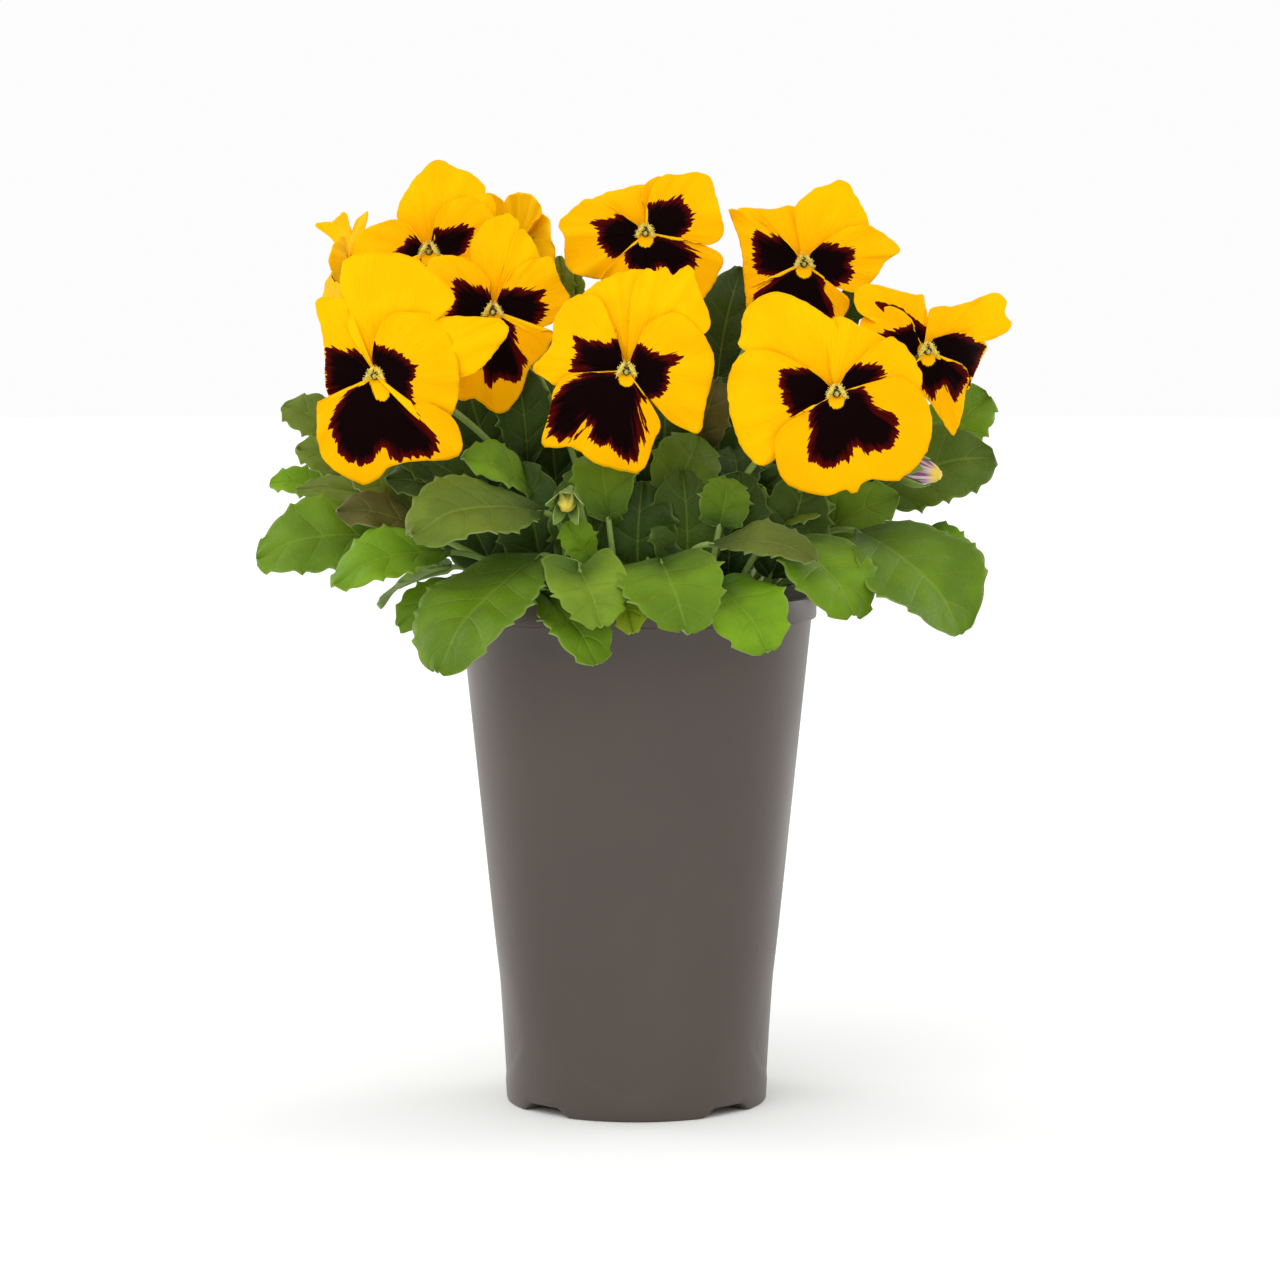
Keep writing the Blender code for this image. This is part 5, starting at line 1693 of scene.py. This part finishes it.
def add_soft_light(name, place, spread, strength):
    """A far light that looks from a place towards the plant, with soft shadows."""
    data = bpy.data.lights.new(name, "SUN")
    data.angle = math.radians(spread)
    data.energy = strength
    light = new_object(name, data)
    light.location = place
    light.rotation_euler = (Vector(LIGHT_TARGET) - Vector(place)).to_track_quat("-Z", "Y").to_euler()


def build_stage(settings):
    """Floor, soft light and the camera."""
    bm = bmesh.new()
    bmesh.ops.create_circle(bm, cap_ends=True, segments=FLOOR_SIDES, radius=FLOOR_RADIUS)
    floor = new_mesh_object("floor", bm)
    floor.data.materials.append(floor_material(settings))
    world = bpy.data.worlds.new("soft_sky")
    world.use_nodes = True
    background = world.node_tree.nodes["Background"]
    background.inputs["Color"].default_value = (1.0, 1.0, 1.0, 1.0)
    background.inputs["Strength"].default_value = settings.sky
    bpy.context.scene.world = world
    for name, place, spread, share in LIGHTS:
        add_soft_light(name, place, spread, settings.key_strength * share)
    data = bpy.data.cameras.new("camera")
    data.lens = CAMERA_LENS
    camera = new_object("camera", data)
    camera.location = CAMERA_PLACE
    camera.rotation_euler = (math.radians(90.0 - CAMERA_PITCH), 0.0, 0.0)
    bpy.context.scene.camera = camera
    bpy.context.scene.view_settings.view_transform = "Standard"


# --- Operators and panel -----------------------------------------------------


class PANSY_OT_pot(bpy.types.Operator):
    """Build the moulded pot"""

    bl_idname = "pansy.pot"
    bl_label = "Pot"

    def execute(self, context):
        """Make the pot."""
        build_pot(context.scene.pansy_pot)
        return {"FINISHED"}


class PANSY_OT_soil(bpy.types.Operator):
    """Build the soil, its crumbs and fibres"""

    bl_idname = "pansy.soil"
    bl_label = "Soil"

    def execute(self, context):
        """Make the soil."""
        build_soil(context.scene.pansy_soil)
        return {"FINISHED"}


class PANSY_OT_leaves(bpy.types.Operator):
    """Build the leaves that have CAD nodes"""

    bl_idname = "pansy.leaves"
    bl_label = "Leaves"

    def execute(self, context):
        """Make the leaves."""
        build_leaves(context.scene.pansy_leaves)
        return {"FINISHED"}


class PANSY_OT_small_leaves(bpy.types.Operator):
    """Build the small leaves between the others"""

    bl_idname = "pansy.small_leaves"
    bl_label = "Small leaves"

    def execute(self, context):
        """Make the small leaves."""
        build_small_leaves(context.scene.pansy_leaves)
        return {"FINISHED"}


class PANSY_OT_flowers(bpy.types.Operator):
    """Build the open flowers and their stalks"""

    bl_idname = "pansy.flowers"
    bl_label = "Flowers"

    def execute(self, context):
        """Make the flowers."""
        build_flowers(context.scene.pansy_flowers, context.scene.pansy_leaves)
        return {"FINISHED"}


class PANSY_OT_buds(bpy.types.Operator):
    """Build the two buds"""

    bl_idname = "pansy.buds"
    bl_label = "Buds"

    def execute(self, context):
        """Make the buds."""
        build_buds(context.scene.pansy_leaves)
        return {"FINISHED"}


class PANSY_OT_stage(bpy.types.Operator):
    """Build the floor, the lights and the camera"""

    bl_idname = "pansy.stage"
    bl_label = "Stage"

    def execute(self, context):
        """Make the stage."""
        build_stage(context.scene.pansy_stage)
        return {"FINISHED"}


OPERATORS = (
    PANSY_OT_pot,
    PANSY_OT_soil,
    PANSY_OT_leaves,
    PANSY_OT_small_leaves,
    PANSY_OT_flowers,
    PANSY_OT_buds,
    PANSY_OT_stage,
)
SETTINGS = {
    "pansy_pot": PansyPotSettings,
    "pansy_soil": PansySoilSettings,
    "pansy_leaves": PansyLeafSettings,
    "pansy_flowers": PansyFlowerSettings,
    "pansy_stage": PansyStageSettings,
}


class PANSY_PT_sidebar(bpy.types.Panel):
    """The steps and settings of the potted pansy"""

    bl_idname = "PANSY_PT_sidebar"
    bl_label = "Potted pansy"
    bl_space_type = "VIEW_3D"
    bl_region_type = "UI"
    bl_category = "Pansy"

    def draw(self, context):
        """List each group of settings, then each step."""
        layout = self.layout
        for name, group in SETTINGS.items():
            box = layout.box()
            for setting in group.__annotations__:
                box.prop(getattr(context.scene, name), setting)
        for operator in OPERATORS:
            layout.operator(operator.bl_idname)


def register():
    """Make the settings, operators and panel known to Blender."""
    for item in (*SETTINGS.values(), *OPERATORS, PANSY_PT_sidebar):
        bpy.utils.register_class(item)
    for name, group in SETTINGS.items():
        setattr(bpy.types.Scene, name, PointerProperty(type=group))


def unregister():
    """Take them away again."""
    for name in SETTINGS:
        delattr(bpy.types.Scene, name)
    for item in (PANSY_PT_sidebar, *reversed(OPERATORS), *reversed(SETTINGS.values())):
        bpy.utils.unregister_class(item)


def main():
    """Build everything in order."""
    register()
    bpy.ops.pansy.pot()
    bpy.ops.pansy.soil()
    bpy.ops.pansy.leaves()
    bpy.ops.pansy.small_leaves()
    bpy.ops.pansy.flowers()
    bpy.ops.pansy.buds()
    bpy.ops.pansy.stage()


if __name__ == "__main__":
    main()
